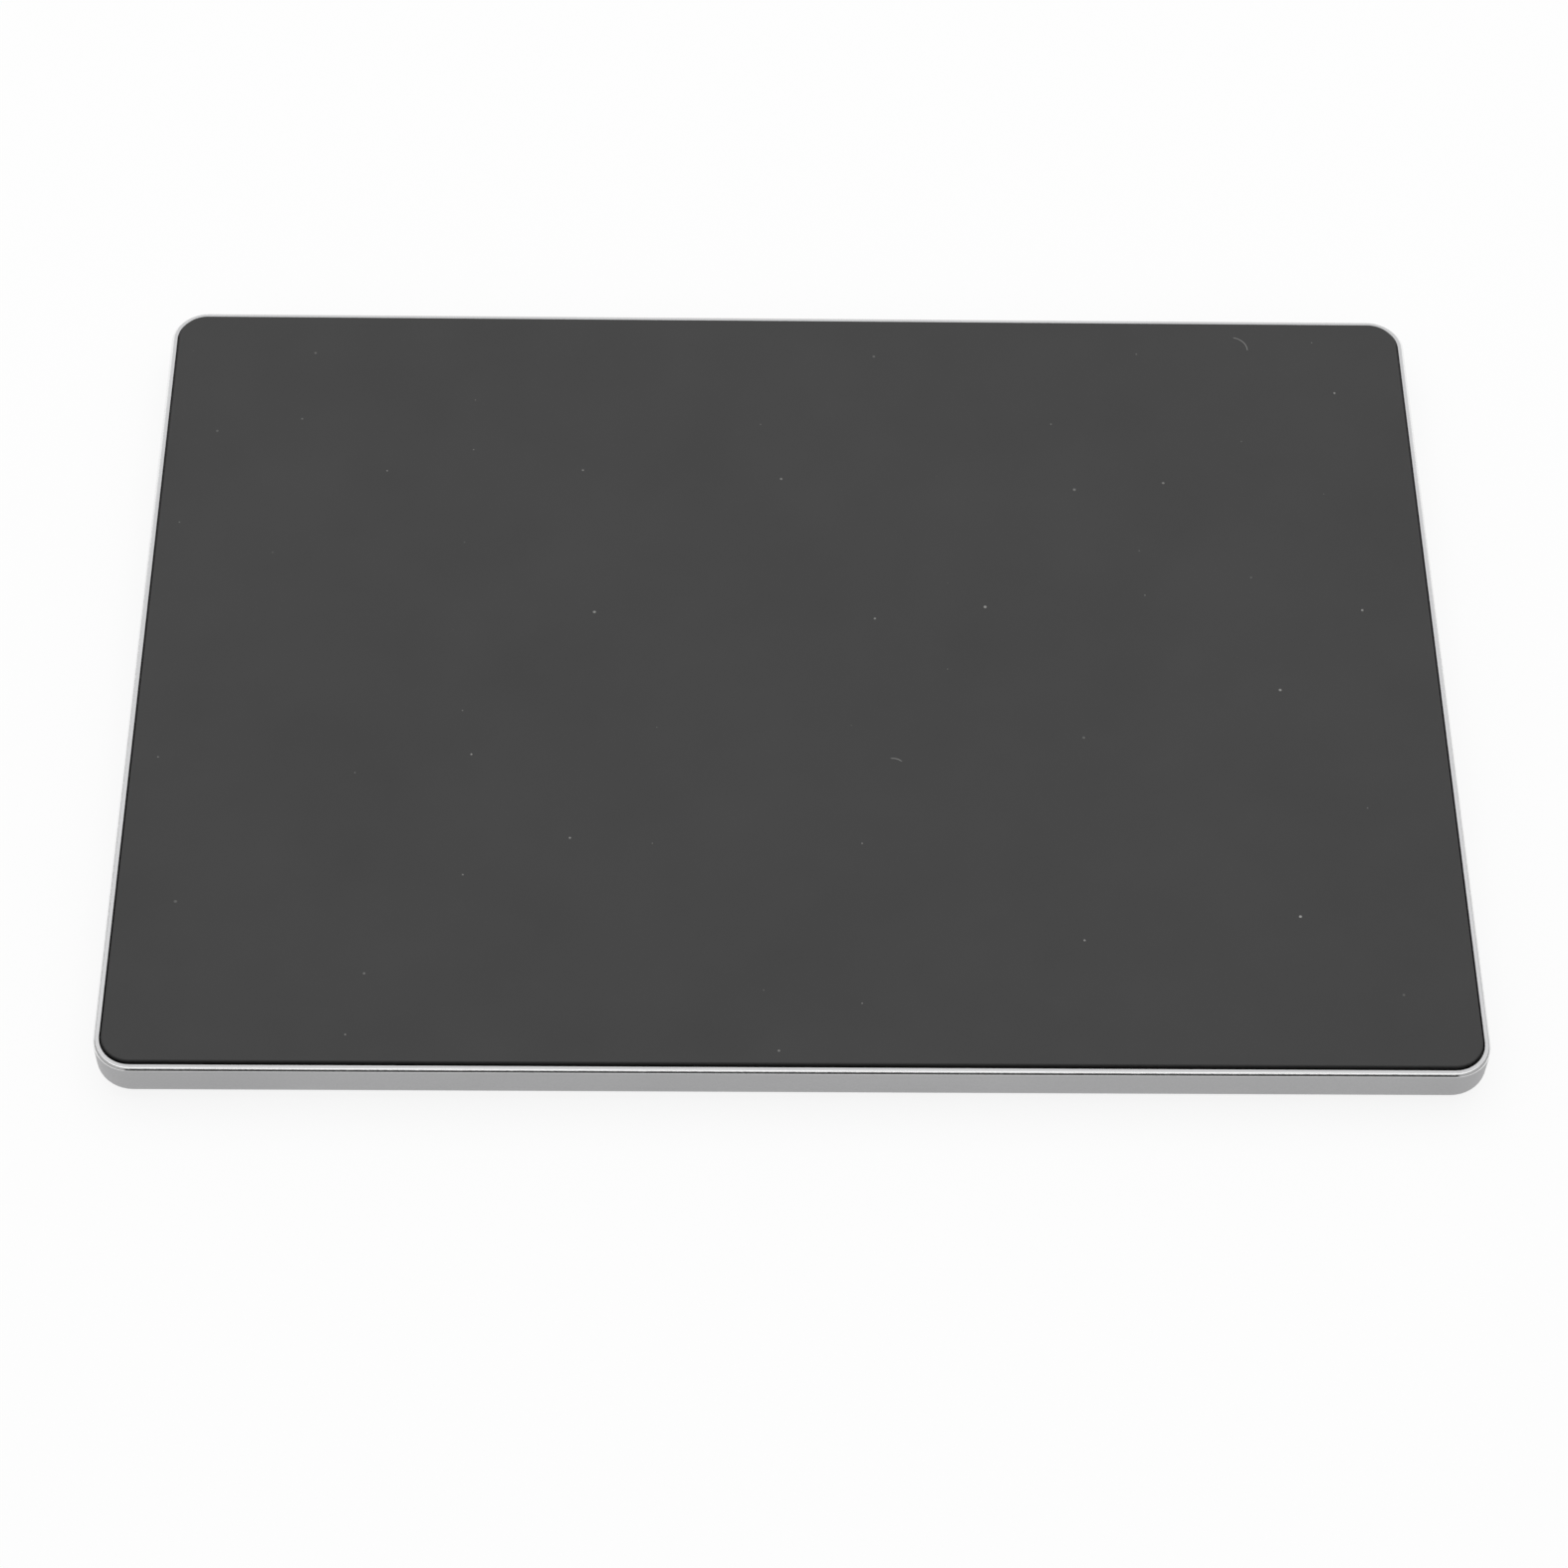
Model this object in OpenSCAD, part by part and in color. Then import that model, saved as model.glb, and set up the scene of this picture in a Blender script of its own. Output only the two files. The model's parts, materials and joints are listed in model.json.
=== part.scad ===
// Wireless trackpad. A dark glass touch plate is hinged at the rear of a thin
// aluminium case and clicks down at its front edge. The boards, the cell and
// the switches lie in the bay between the plate and the bottom cover.
// Millimetres, +Z up. The user sits at -Y. The origin is on the desk, under
// the middle of the case.

/* [Case] */
// Overall width
case_w = 160; // [150:1:180]
// Overall depth, front to rear
case_d = 115; // [112:1:130]
// Outside corner radius in plan
corner_r = 4.5; // [4:0.1:7]
// Wall thickness below the glass
wall_t = 2; // [1.8:0.1:2.3]
// Width of the bright rim around the glass
rim_w = 0.75; // [0.5:0.05:0.9]
// Chamfer on the outer edge of the rim
rim_chamfer = 0.3; // [0.1:0.05:0.35]
// Fillet on the lower outer edge of the wall
edge_fillet = 1.5; // [0.8:0.1:1.7]
// Thickness of the bottom cover
cover_t = 0.9; // [0.8:0.1:1.4]
// Clearance between the bottom cover and the wall
cover_gap = 0.1; // [0.05:0.05:0.2]

/* [Feet] */
// Height of the feet below the case
foot_h = 0.8; // [0.5:0.1:1.5]
// Length of a foot
foot_l = 22; // [14:1:28]
// Width of a foot
foot_w = 6; // [5.5:0.5:7]
// Corner radius of a foot
foot_r = 2.5; // [1:0.1:2.6]
// Depth of the recess that holds a foot
foot_recess = 0.4; // [0.2:0.1:0.5]
// Distance from the case's side to the middle of a foot
foot_inset_x = 20; // [18:1:30]
// Distance from the case's front or rear to the middle of a foot
foot_inset_y = 6.2; // [5.7:0.1:7]

/* [Touch plate] */
// Thickness of the glass
glass_t = 0.8; // [0.6:0.1:1.2]
// How far the glass stands above the rim
glass_proud = 0.45; // [0.3:0.05:0.6]
// Gap between the glass and the rim
glass_gap = 0.25; // [0.2:0.05:0.35]
// Chamfer on the top edge of the glass
glass_chamfer = 0.12; // [0.05:0.01:0.2]
// Space under the glass edge for its travel
edge_travel = 0.5; // [0.45:0.05:0.55]
// Thickness of the black film that lines the gap
liner_t = 0.15; // [0.1:0.05:0.15]
// Thickness of the adhesive under the glass
adhesive_t = 0.1; // [0.05:0.05:0.2]
// Thickness of the sensor board
sensor_t = 0.6; // [0.6:0.1:1]
// Gap between the sensor board and the wall
sensor_gap = 0.5; // [0.4:0.1:1]
// Thickness of the film that bonds the stiffener
film_t = 0.1; // [0.05:0.05:0.2]
// Thickness of the steel stiffener
stiffener_t = 0.4; // [0.3:0.1:0.6]
// Width of a stop tab on the stiffener
tab_w = 12; // [8:1:16]
// Reach of a stop tab into its pocket in the wall
tab_reach = 0.7; // [0.5:0.1:0.9]

/* [Hinge] */
// Distance between the middles of the two hinges
hinge_pitch = 100; // [96:1:110]
// Distance from the case's rear to the hinge axis
hinge_setback = 8.5; // [8:0.1:10]
// Radius of a hinge pin
pin_r = 0.5; // [0.4:0.05:0.6]
// Running clearance around a pin
pin_gap = 0.06; // [0.03:0.01:0.09]
// Outer radius of a knuckle
knuckle_r = 1; // [0.9:0.05:1.1]
// Length of a knuckle
knuckle_l = 12; // [8:1:14]
// Length of each bearing pad beside a knuckle
pad_l = 5; // [4:0.5:6]

/* [Click switch] */
// Travel of the click switch
click_travel = 0.25; // [0.15:0.05:0.3]
// Distance from the case's front to the click switch
click_setback = 9.5; // [9:0.5:11]
// Side of the square switch housing
click_side = 6.2; // [5:0.1:7]
// Radius of the switch plunger
plunger_r = 1.6; // [1.2:0.1:1.9]
// Radius of the pad that presses the plunger
press_r = 2; // [1.5:0.1:3]

/* [Battery] */
// Width of the cell
battery_w = 64; // [48:1:76]
// Depth of the cell
battery_d = 48; // [30:1:50]
// Thickness of the cell
battery_t = 2.4; // [1.8:0.1:3]
// Thickness of the tape under the cell
tape_t = 0.1; // [0.1:0.05:0.2]
// Space above the cell for the plate's travel
battery_clear = 0.4; // [0.4:0.05:0.8]

/* [Main board] */
// Width of the main board
main_w = 68; // [62:1:76]
// Depth of the main board
main_d = 12; // [12:0.5:14]
// Thickness of the main board
main_t = 0.8; // [0.6:0.1:1]
// Gap between the main board and the rear wall
main_gap = 0.5; // [0.3:0.1:0.8]
// Height of the bosses under the main board
boss_h = 1; // [0.9:0.05:1.1]

/* [Ports] */
// Distance from the case's side to the plastic windows in the rear wall
window_inset = 7; // [5:0.5:40]
// Height of the plastic windows and the port plate
window_h = 4.7; // [4.5:0.05:4.8]
// Width of the plate around the charging port
port_plate_w = 15; // [13:0.5:15.5]
// Clearance around the windows, ports and knobs
port_gap = 0.12; // [0.08:0.01:0.2]
// Sideways place of the power switch
power_x = 16; // [14:0.5:18]
// Travel of the power slider
power_travel = 2; // [1.5:0.1:2.5]
// Sideways place of the pairing button
pair_x = -20; // [-22:0.5:-17]
// Radius of the pairing button
pair_r = 1; // [0.8:0.05:1.2]
// Travel of the pairing button
pair_travel = 0.3; // [0.2:0.05:0.35]
// Sideways place of the status light
light_x = -11; // [-12:0.5:-9]

/* [Screws] */
// Radius of a cover screw's shank
screw_r = 0.8; // [0.7:0.05:0.9]
// Radius of a cover screw's head
screw_head_r = 1.4; // [1.2:0.05:1.5]
// Distance between the screws along a side
side_screw_pitch = 40; // [36:1:44]
// Distance between the two screws along the front
front_screw_pitch = 60; // [50:1:66]

/* [Hidden] */
$fn = 64;

// Small overshoot of a cut past the face that it opens.
cut = 0.01;
// Clearance of a screw in its thread.
thread_gap = 0.02;
// Clearance between flat faces that meet only when the plate moves.
face_gap = 0.03;

// USB-C receptacle, at its standard sizes.
usb_w = 8.94;
usb_h = 3.16;
usb_l = 7.4;
usb_wall = 0.3;
usb_nose = 0.4;
usb_floor_gap = 0.08;
usb_top_gap = 0.16;

// Heights, from the desk up. The bay is as deep as the cell or the receptacle needs.
bay_for_cell = tape_t + battery_t + battery_clear;
bay_for_usb = usb_floor_gap + usb_h + usb_top_gap - stiffener_t - film_t;
bay_h = max(bay_for_cell, bay_for_usb);
z_cover = foot_h;
z_floor = z_cover + cover_t;
z_stiff = z_floor + bay_h;
z_film = z_stiff + stiffener_t;
z_sensor = z_film + film_t;
z_adhesive = z_sensor + sensor_t;
z_glass = z_adhesive + adhesive_t;
z_top = z_glass + glass_t;
z_rim = z_top - glass_proud;
z_shelf = z_glass - edge_travel;
port_z = z_floor + usb_floor_gap + usb_h / 2;

// Plan sizes.
opening_w = case_w - 2 * rim_w;
opening_d = case_d - 2 * rim_w;
glass_w = opening_w - 2 * glass_gap;
glass_d = opening_d - 2 * glass_gap;
glass_r = corner_r - rim_w - glass_gap;
inner_w = case_w - 2 * wall_t;
inner_d = case_d - 2 * wall_t;
inner_r = corner_r - wall_t;
cover_w = inner_w - 2 * cover_gap;
cover_d = inner_d - 2 * cover_gap;
sensor_w = inner_w - 2 * sensor_gap;
sensor_d = inner_d - 2 * sensor_gap;
sensor_r = inner_r - sensor_gap;
stiff_inset = 0.5;
stiff_w = sensor_w - 2 * stiff_inset;
stiff_d = sensor_d - 2 * stiff_inset;
stiff_r = sensor_r - stiff_inset;

// Hinge and click geometry.
hinge_y = case_d / 2 - hinge_setback;
hinge_z = z_stiff - knuckle_r;
click_y = click_setback - case_d / 2;
click_lever = hinge_y - click_y;
click_angle = atan(click_travel / click_lever);
knuckle_side_gap = 0.15;
leaf_t = 0.4;
leaf_l = 8;
block_reach = knuckle_l / 2 + knuckle_side_gap + pad_l;
block_d = 6;
block_front = 4.5;
block_base_t = 0.4;
block_top_gap = 0.1;
hinge_screw_x = knuckle_l / 2 + knuckle_side_gap + pad_l / 2;
hinge_screw_back = 2.6;
hinge_screw_y = hinge_y - hinge_screw_back;
hinge_screw_l = 2.4;

// Main board and what lines up with it.
main_y1 = case_d / 2 - wall_t - main_gap;
main_y0 = main_y1 - main_d;
main_z0 = z_floor + boss_h;
main_z1 = main_z0 + main_t;
notch_margin = 1;
notch_w = main_w + 2 * notch_margin;
notch_y = main_y0 - notch_margin;
parts_window_x = [-18, 16];
parts_window_d = 10;
parts_window_y0 = notch_y - parts_window_d;
main_screw_inset = 2.6;
main_screw_rear = 4.8;
mid_screw_x = 4;
mid_screw_front = 2.2;
main_screw_points = [
    [main_screw_inset - main_w / 2, main_y1 - main_screw_rear],
    [main_w / 2 - main_screw_inset, main_y0 + main_screw_inset],
    [mid_screw_x, main_y0 + mid_screw_front]
];
main_hole_r = 0.8;
main_screw_r = 0.55;
main_screw_head_r = 1.1;
main_screw_head_h = 0.5;
main_screw_l = 2.3;
boss_r = 1.5;

// Cell, behind the plate's middle.
cell_rear_gap = 2;
cell_y1 = parts_window_y0 - cell_rear_gap;
cell_y0 = cell_y1 - battery_d;
cell_z0 = z_floor + tape_t;
protection_inset = 6;
protection_w = battery_w - 2 * protection_inset;
protection_d = 3.2;
protection_t = 0.8;
protection_lift = 0.6;
protection_z0 = cell_z0 + protection_lift;

// Low ribs beside the cell.
rib_t = 1;
rib_h = 1.2;
rib_gap = 0.3;
rib_l = 16;

// Click switch stack, from the floor up.
click_board_w = 26;
click_board_d = 14;
click_board_t = 0.6;
click_base_z0 = z_floor + click_board_t;
press_t = 0.4;
plunger_z1 = z_stiff - press_t - face_gap;
plunger_show = 0.4;
click_cover_t = 0.2;
click_cover_z0 = plunger_z1 - plunger_show - click_cover_t;
plunger_gap = 0.1;
plunger_flange = 0.5;
plunger_flange_t = 0.3;
dome_r = 2.3;
dome_t = 0.12;
dome_rise = 0.35;
click_floor_t = 0.3;

// Flat cables.
flex_t = 0.2;
click_flex_w = 5;
click_flex_gap = 0.2;
click_flex_x = battery_w / 2 + rib_gap + rib_t + click_flex_gap + click_flex_w / 2;
click_plug_inset = 8.5;
click_plug_x = main_w / 2 - click_plug_inset;
flex_slot_gap = 0.1;
sensor_flex_w = 10;
sensor_flex_x = -10;
connector_d = 3.4;
connector_h = 1;
connector_margin = 1;
sensor_plug_gap = 2;
sensor_plug_y1 = notch_y - sensor_plug_gap;
main_plug_inset = 0.4;
main_plug_y0 = main_y0 + main_plug_inset;
sensor_flex_z = z_sensor - connector_h / 2 - flex_t / 2;
main_flex_z = main_z1 + connector_h / 2 - flex_t / 2;
click_connector_h = 0.85;
click_flex_z = main_z0 - click_connector_h / 2 - flex_t / 2;
flex_insert = 2;
flex_straight = 0.3;
flex_turn_gap = 1.5;
flex_rise_gap = 0.5;

// Cover screws: three along each side and two along the front.
lug_w = 6;
lug_l = 4.2;
lug_h = 2;
lug_screw_in = 2.2;
screw_sink = 0.05;
screw_l = 2.7;
screw_cone_h = screw_head_r - screw_r;
screw_rim_h = 0.1;
hole_gap = 0.15;
side_screw_x = case_w / 2 - wall_t - lug_screw_in;
front_screw_y = wall_t + lug_screw_in - case_d / 2;
side_screw_points = [for (s = [-1, 1], k = [-1:1]) [s * side_screw_x, k * side_screw_pitch]];
front_screw_points = [for (s = [-1, 1]) [s * front_screw_pitch / 2, front_screw_y]];
frame_screw_points = concat(side_screw_points, front_screw_points);
hinge_screw_points = [
    for (s = [-1, 1], k = [-1, 1]) [s * hinge_pitch / 2 + k * hinge_screw_x, hinge_screw_y]
];

// Stop tabs, return springs and travel stops.
tab_inset_x = 35;
tab_x = case_w / 2 - tab_inset_x;
tab_gap = 0.05;
pocket_gap = 0.3;
pocket_drop = 0.5;
spring_w = 5;
spring_flex_gap = 5;
spring_x = click_flex_x + click_flex_w / 2 + spring_flex_gap + spring_w / 2;
spring_t = 0.2;
spring_back = 30;
spring_y0 = click_y + spring_back;
spring_l = 24;
spring_foot_l = 7;
spring_tip_l = 3;
stake_r = 0.75;
stake_head_r = 1.3;
stake_head_h = 0.3;
stop_inset_x = 18;
stop_x = case_w / 2 - stop_inset_x;
stop_r = 2;
stop_y = click_y;

// Rear ports.
power_body = [8.6, 2.8, 1.4];
power_body_gap = 0.2;
knob_w = 3.2;
knob_h = 1.3;
knob_sink = 0.1;
stem_w = 1.2;
stem_h = 0.8;
stem_l = 1.2;
power_y1 = case_d / 2 - wall_t - power_body_gap;
pair_body = [4.6, 3, 1.8];
pair_flange_r = 1.5;
pair_flange_t = 0.4;
pair_flange_gap = 0.08;
pair_stem_r = 0.6;
pair_stem_l = 1;
pair_flange_y1 = case_d / 2 - wall_t - pair_flange_gap;
pair_end_gap = 0.1;
pair_body_y1 = pair_flange_y1 - pair_flange_t - pair_travel - pair_end_gap;
light_r = 0.5;
light_block_w = 1.8;
led_size = [1.6, 0.8, 0.7];

// Battery lead: the wire's radius and its route, measured from the protection board.
lead_r = 0.4;
lead_sides = 8;
plug_size = [4.2, 2.6, 1];
socket_w = 5.4;
socket_d = 3.6;
socket_floor = 0.3;
socket_inset_x = 8;
socket_x = socket_inset_x - main_w / 2;
socket_inset_y = 0.6;
socket_y0 = main_y0 + socket_inset_y;
plug_sink = 0.4;
lead_inset = 2;
lead_route = [
    [0, 0, 0], [0, 1.5, 0], [-1, 4, 0], [-2, 6.5, 0.1], [-2, 8, 0.4], [-2, 9, 1], [-2, 10, 1]
];

// Rounded rectangle in plan.
module rounded(w, d, r) {
    square([w - 2 * r, d], center = true);
    square([w, d - 2 * r], center = true);
    for (x = [-1, 1], y = [-1, 1]) translate([x * (w / 2 - r), y * (d / 2 - r)]) circle(r);
}

// Slot outline of overall length l and width w.
module slot(l, w) {
    square([l - w, w], center = true);
    for (s = [-1, 1]) translate([s * (l - w) / 2, 0]) circle(w / 2);
}

// Sweeps a section around a rounded rectangle. The section has x = 0 on the outer face,
// negative inwards, and y up.
module around(w, d, r) {
    for (q = [0:3]) rotate(90 * q) {
        across = q % 2 == 0 ? w : d;
        run = (q % 2 == 0 ? d : w) - 2 * r;
        translate([across / 2, run / 2, 0]) rotate([90, 0, 0]) linear_extrude(run) children();
        translate([across / 2 - r, run / 2, 0])
            rotate_extrude(angle = 90) translate([r, 0]) children();
    }
}

// Flat slab with rounded corners and a chamfer on its top and bottom edges.
module slab(w, d, r, h, top_cut, bottom_cut) {
    around(w, d, r) polygon([
        [-r, 0], [-bottom_cut, 0], [0, bottom_cut], [0, h - top_cut], [-top_cut, h], [-r, h]
    ]);
    translate([r - w / 2, r - d / 2, 0]) cube([w - 2 * r, d - 2 * r, h]);
}

// Box centred in x and y, standing on z = 0.
module block(size) {
    translate([-size.x / 2, -size.y / 2, 0]) cube(size);
}

// Cylinder along y, from y0 to y1.
module along_y(r, y0, y1) {
    translate([0, y1, 0]) rotate([90, 0, 0]) cylinder(r = r, h = y1 - y0);
}

// Cylinder along x, centred.
module along_x(r, l) {
    rotate([0, 90, 0]) cylinder(r = r, h = l, center = true);
}

// Strip of even height t that follows [y, z] points and is w wide along x.
module strip(points, t, w) {
    last = len(points) - 1;
    rotate([90, 0, 90]) linear_extrude(w, center = true) polygon(concat(
        points,
        [for (i = [0:last]) points[last - i] + [0, t]]
    ));
}

// Round wire swept along points.
function unit(v) = v / norm(v);
function heading(p, i) = unit(p[min(i + 1, len(p) - 1)] - p[max(i - 1, 0)]);
function ring(p, i, r, n) =
    let (t = heading(p, i), s = unit(cross(t, [0, 0, 1])), u = cross(s, t))
    [for (k = [0:n - 1]) p[i] + r * (cos(360 * k / n) * s + sin(360 * k / n) * u)];
module wire(p, r, n) {
    last = len(p) - 1;
    points = [for (i = [0:last]) each ring(p, i, r, n)];
    sides = [
        for (i = [0:last - 1], k = [0:n - 1])
        let (a = i * n + k, b = i * n + (k + 1) % n)
        each [[a, b, b + n], [a, b + n, a + n]]
    ];
    caps = [for (k = [1:n - 2]) each [
        [0, k + 1, k],
        [last * n, last * n + k, last * n + k + 1]
    ]];
    polyhedron(points, concat(sides, caps));
}

// Countersunk screw with a cross recess, pointing up from its head at z = 0.
module countersunk_screw(l) {
    difference() {
        rotate_extrude() polygon([
            [0, 0], [screw_head_r, 0], [screw_head_r, screw_rim_h],
            [screw_r, screw_rim_h + screw_cone_h], [screw_r, l], [0, l]
        ]);
        cross_recess(screw_head_r);
    }
}

// Cross recess cut up into a screw head whose face is at z = 0.
module cross_recess(head_r) {
    recess_l = head_r * 1.2;
    recess_w = head_r * 0.28;
    recess_h = head_r * 0.3;
    for (a = [0, 90]) rotate(a) translate([-recess_l / 2, -recess_w / 2, -cut])
        cube([recess_l, recess_w, recess_h + cut]);
}

// Hole for a countersunk screw, cut up through the bottom cover.
module countersunk_hole() {
    hole_r = screw_r + hole_gap;
    mouth_r = screw_head_r + hole_gap;
    mouth_h = screw_sink + screw_rim_h + hole_gap / 2;
    rotate_extrude() polygon([
        [0, -cut], [mouth_r, -cut], [mouth_r, mouth_h],
        [hole_r, mouth_h + mouth_r - hole_r], [hole_r, cover_t + cut], [0, cover_t + cut]
    ]);
}

// Section of the case wall: outer face at x = 0, glass recess, bright chamfer, lower fillet.
module wall_section() {
    difference() {
        translate([-wall_t, z_cover]) square([wall_t, z_rim - z_cover]);
        translate([-wall_t - cut, z_shelf])
            square([wall_t - rim_w + cut, z_rim - z_shelf + cut]);
        polygon([
            [-rim_chamfer - cut, z_rim + cut], [cut, z_rim + cut], [cut, z_rim - rim_chamfer - cut]
        ]);
        difference() {
            translate([-edge_fillet, z_cover - cut]) square([edge_fillet + cut, edge_fillet + cut]);
            translate([-edge_fillet, z_cover + edge_fillet]) circle(edge_fillet);
        }
    }
}

// The whole wall, before anything is cut in it.
module plain_wall() {
    around(case_w, case_d, corner_r) wall_section();
}

// Field of the rear wall from x0 to x1, from the wall's lower edge up, grown by gap.
module rear_field(x0, x1, gap) {
    translate([x0 - gap, case_d / 2 - wall_t - cut, z_cover - cut])
        cube([x1 - x0 + 2 * gap, wall_t + 2 * cut, window_h + gap + cut]);
}

module case_frame() {
    color("silver") difference() {
        union() {
            plain_wall();
            for (p = side_screw_points) lug(p, [sign(p.x), 0]);
            for (p = front_screw_points) lug(p, [0, -1]);
        }
        for (p = frame_screw_points) translate([p.x, p.y, z_floor - cut])
            cylinder(r = screw_r + thread_gap, h = lug_h + 2 * cut);
        for (s = [-1, 1]) translate([s * tab_x, tab_pocket_y, z_stiff - pocket_drop])
            block([tab_w + 2 * pocket_gap, 2 * tab_pocket_l, pocket_h]);
        rear_field(-window_x, window_x, port_gap);
    }
}

// Pocket in the front wall for a stop tab, from the wall's inner face outwards.
tab_pocket_y = wall_t - case_d / 2;
tab_pocket_l = tab_reach + pocket_gap;
pocket_h = pocket_drop + stiffener_t + tab_gap;

// Threaded lug on the inside of the wall; toward points at the wall that it stands on.
module lug(p, toward) {
    reach = lug_l - lug_screw_in;
    size = toward.x != 0 ? [lug_l + cut, lug_w, lug_h] : [lug_w, lug_l + cut, lug_h];
    shift = (lug_screw_in - reach + cut) / 2;
    translate([p.x + toward.x * shift, p.y + toward.y * shift, z_floor]) block(size);
}

module bottom_cover() {
    color("dimgray") difference() {
        union() {
            translate([0, 0, z_cover]) linear_extrude(cover_t)
                rounded(cover_w, cover_d, inner_r - cover_gap);
            for (p = main_screw_points) translate([p.x, p.y, z_floor - cut])
                cylinder(r = boss_r, h = boss_h + cut);
            for (s = [-1, 1]) spring_stake(s);
            for (s = [-1, 1]) click_stake(s);
            for (s = [-1, 1]) cell_rib(s);
        }
        for (p = concat(frame_screw_points, hinge_screw_points))
            translate([p.x, p.y, z_cover]) countersunk_hole();
        for (x = [-1, 1], y = [-1, 1]) translate([foot_x(x), foot_y(y), z_cover - cut])
            linear_extrude(foot_recess + cut)
            rounded(foot_l + 2 * cover_gap, foot_w + 2 * cover_gap, foot_r + cover_gap);
        for (p = main_screw_points) translate([p.x, p.y, main_z1 - main_screw_l - cut])
            cylinder(r = main_screw_r + thread_gap, h = main_screw_l);
    }
}

function foot_x(side) = side * (case_w / 2 - foot_inset_x);
function foot_y(side) = side * (case_d / 2 - foot_inset_y);

// Heat stake that holds a plate of thickness t on the floor.
module stake(t) {
    translate([0, 0, -cut]) cylinder(r = stake_r, h = t + face_gap + 2 * cut);
    translate([0, 0, t + face_gap]) cylinder(r = stake_head_r, h = stake_head_h);
}

module spring_stake(side) {
    translate([side * spring_x, spring_y0 - spring_foot_l / 2, z_floor]) stake(spring_t);
}

click_stake_in = 2;
click_stake_x = click_board_w / 2 - click_stake_in;
module click_stake(side) {
    translate([side * click_stake_x, click_y, z_floor]) stake(click_board_t);
}

// Low rib beside the cell.
module cell_rib(side) {
    translate([side * (battery_w / 2 + rib_gap + rib_t / 2), (cell_y0 + cell_y1) / 2, z_floor - cut])
        block([rib_t, rib_l, rib_h + cut]);
}

// Outer end of the rear windows, and their inner end beside the port plate.
window_x = case_w / 2 - window_inset;
window_x0 = port_plate_w / 2 + face_gap;

// Plastic piece of the rear wall from x0 to x1, flush with it and under its rim, less its children.
module rear_piece(x0, x1) {
    color("#2b2b2d") difference() {
        intersection() {
            plain_wall();
            rear_field(x0, x1, 0);
        }
        children();
    }
}

// Radio window with the holes of the pairing button and the status light.
module rear_window_left() {
    rear_piece(-window_x, -window_x0) {
        translate([pair_x, 0, port_z])
            along_y(pair_r + port_gap, case_d / 2 - wall_t - cut, case_d / 2 + cut);
        translate([light_x, 0, port_z])
            along_y(light_r + thread_gap, case_d / 2 - wall_t - cut, case_d / 2 + cut);
    }
}

// Radio window with the power slider's slot.
module rear_window_right() {
    rear_piece(window_x0, window_x)
        translate([power_x, case_d / 2 - wall_t - cut, port_z - knob_h / 2 - port_gap])
        translate([-(knob_w + power_travel) / 2 - port_gap, 0, 0])
        cube([knob_w + power_travel + 2 * port_gap, wall_t + 2 * cut, knob_h + 2 * port_gap]);
}

// Plate around the mouth of the charging port.
module port_plate() {
    rear_piece(-port_plate_w / 2, port_plate_w / 2)
        translate([0, case_d / 2 + cut, port_z]) rotate([90, 0, 0])
        linear_extrude(wall_t + 2 * cut) slot(usb_w + 2 * port_gap, usb_h + 2 * port_gap);
}

// Black film on the shelf under the glass edge.
module gap_liner() {
    liner_w = wall_t - rim_w - face_gap;
    color("#101010") translate([0, 0, z_shelf])
        around(opening_w - 2 * face_gap, opening_d - 2 * face_gap, corner_r - rim_w - face_gap)
        translate([-liner_w, 0]) square([liner_w, liner_t]);
}

module cover_screws() {
    color("gray") for (p = frame_screw_points)
        translate([p.x, p.y, z_cover + screw_sink]) countersunk_screw(screw_l);
}

module hinge_screws() {
    color("gray") for (p = hinge_screw_points)
        translate([p.x, p.y, z_cover + screw_sink]) countersunk_screw(hinge_screw_l);
}

// Rubber foot, stuck in its recess.
module foot(x, y) {
    foot_edge = 0.3;
    color("#1c1c1c") translate([foot_x(x), foot_y(y), 0])
        slab(foot_l, foot_w, foot_r, foot_h + foot_recess, 0, foot_edge);
}

module glass_plate() {
    color("#484848") translate([0, 0, z_glass])
        slab(glass_w, glass_d, glass_r, glass_t, glass_chamfer, glass_chamfer / 2);
}

module glass_adhesive() {
    color("#d8d4c4") translate([0, 0, z_adhesive])
        linear_extrude(adhesive_t) rounded(sensor_w, sensor_d, sensor_r);
}

module sensor_board() {
    color("#14401f") translate([0, 0, z_sensor])
        linear_extrude(sensor_t) rounded(sensor_w, sensor_d, sensor_r);
}

// Outline shared by the stiffener and its bonding film.
module stiffener_outline() {
    difference() {
        rounded(stiff_w, stiff_d, stiff_r);
        translate([-notch_w / 2, notch_y]) square([notch_w, stiff_d]);
        translate([parts_window_x[0], parts_window_y0])
            square([parts_window_x[1] - parts_window_x[0], parts_window_d + cut]);
    }
}

module bond_film() {
    color("#e8e0c8") translate([0, 0, z_film]) linear_extrude(film_t) stiffener_outline();
}

// Steel plate under the sensor board. Its front tabs reach under the wall and stop the plate.
module stiffener_plate() {
    tab_l = stiff_inset + sensor_gap + tab_reach;
    color("lightsteelblue") translate([0, 0, z_stiff]) linear_extrude(stiffener_t) {
        stiffener_outline();
        for (s = [-1, 1]) translate([s * tab_x - tab_w / 2, -stiff_d / 2 - tab_l])
            square([tab_w, tab_l + cut]);
    }
}

controller_size = [7, 7, 0.75];
controller_x = 6;
controller_front = 4.5;
controller_y = parts_window_y0 + controller_front;
module touch_controller() {
    color("#1a1a1c") translate([controller_x, controller_y, z_sensor - controller_size.z])
        block(controller_size);
}

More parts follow.
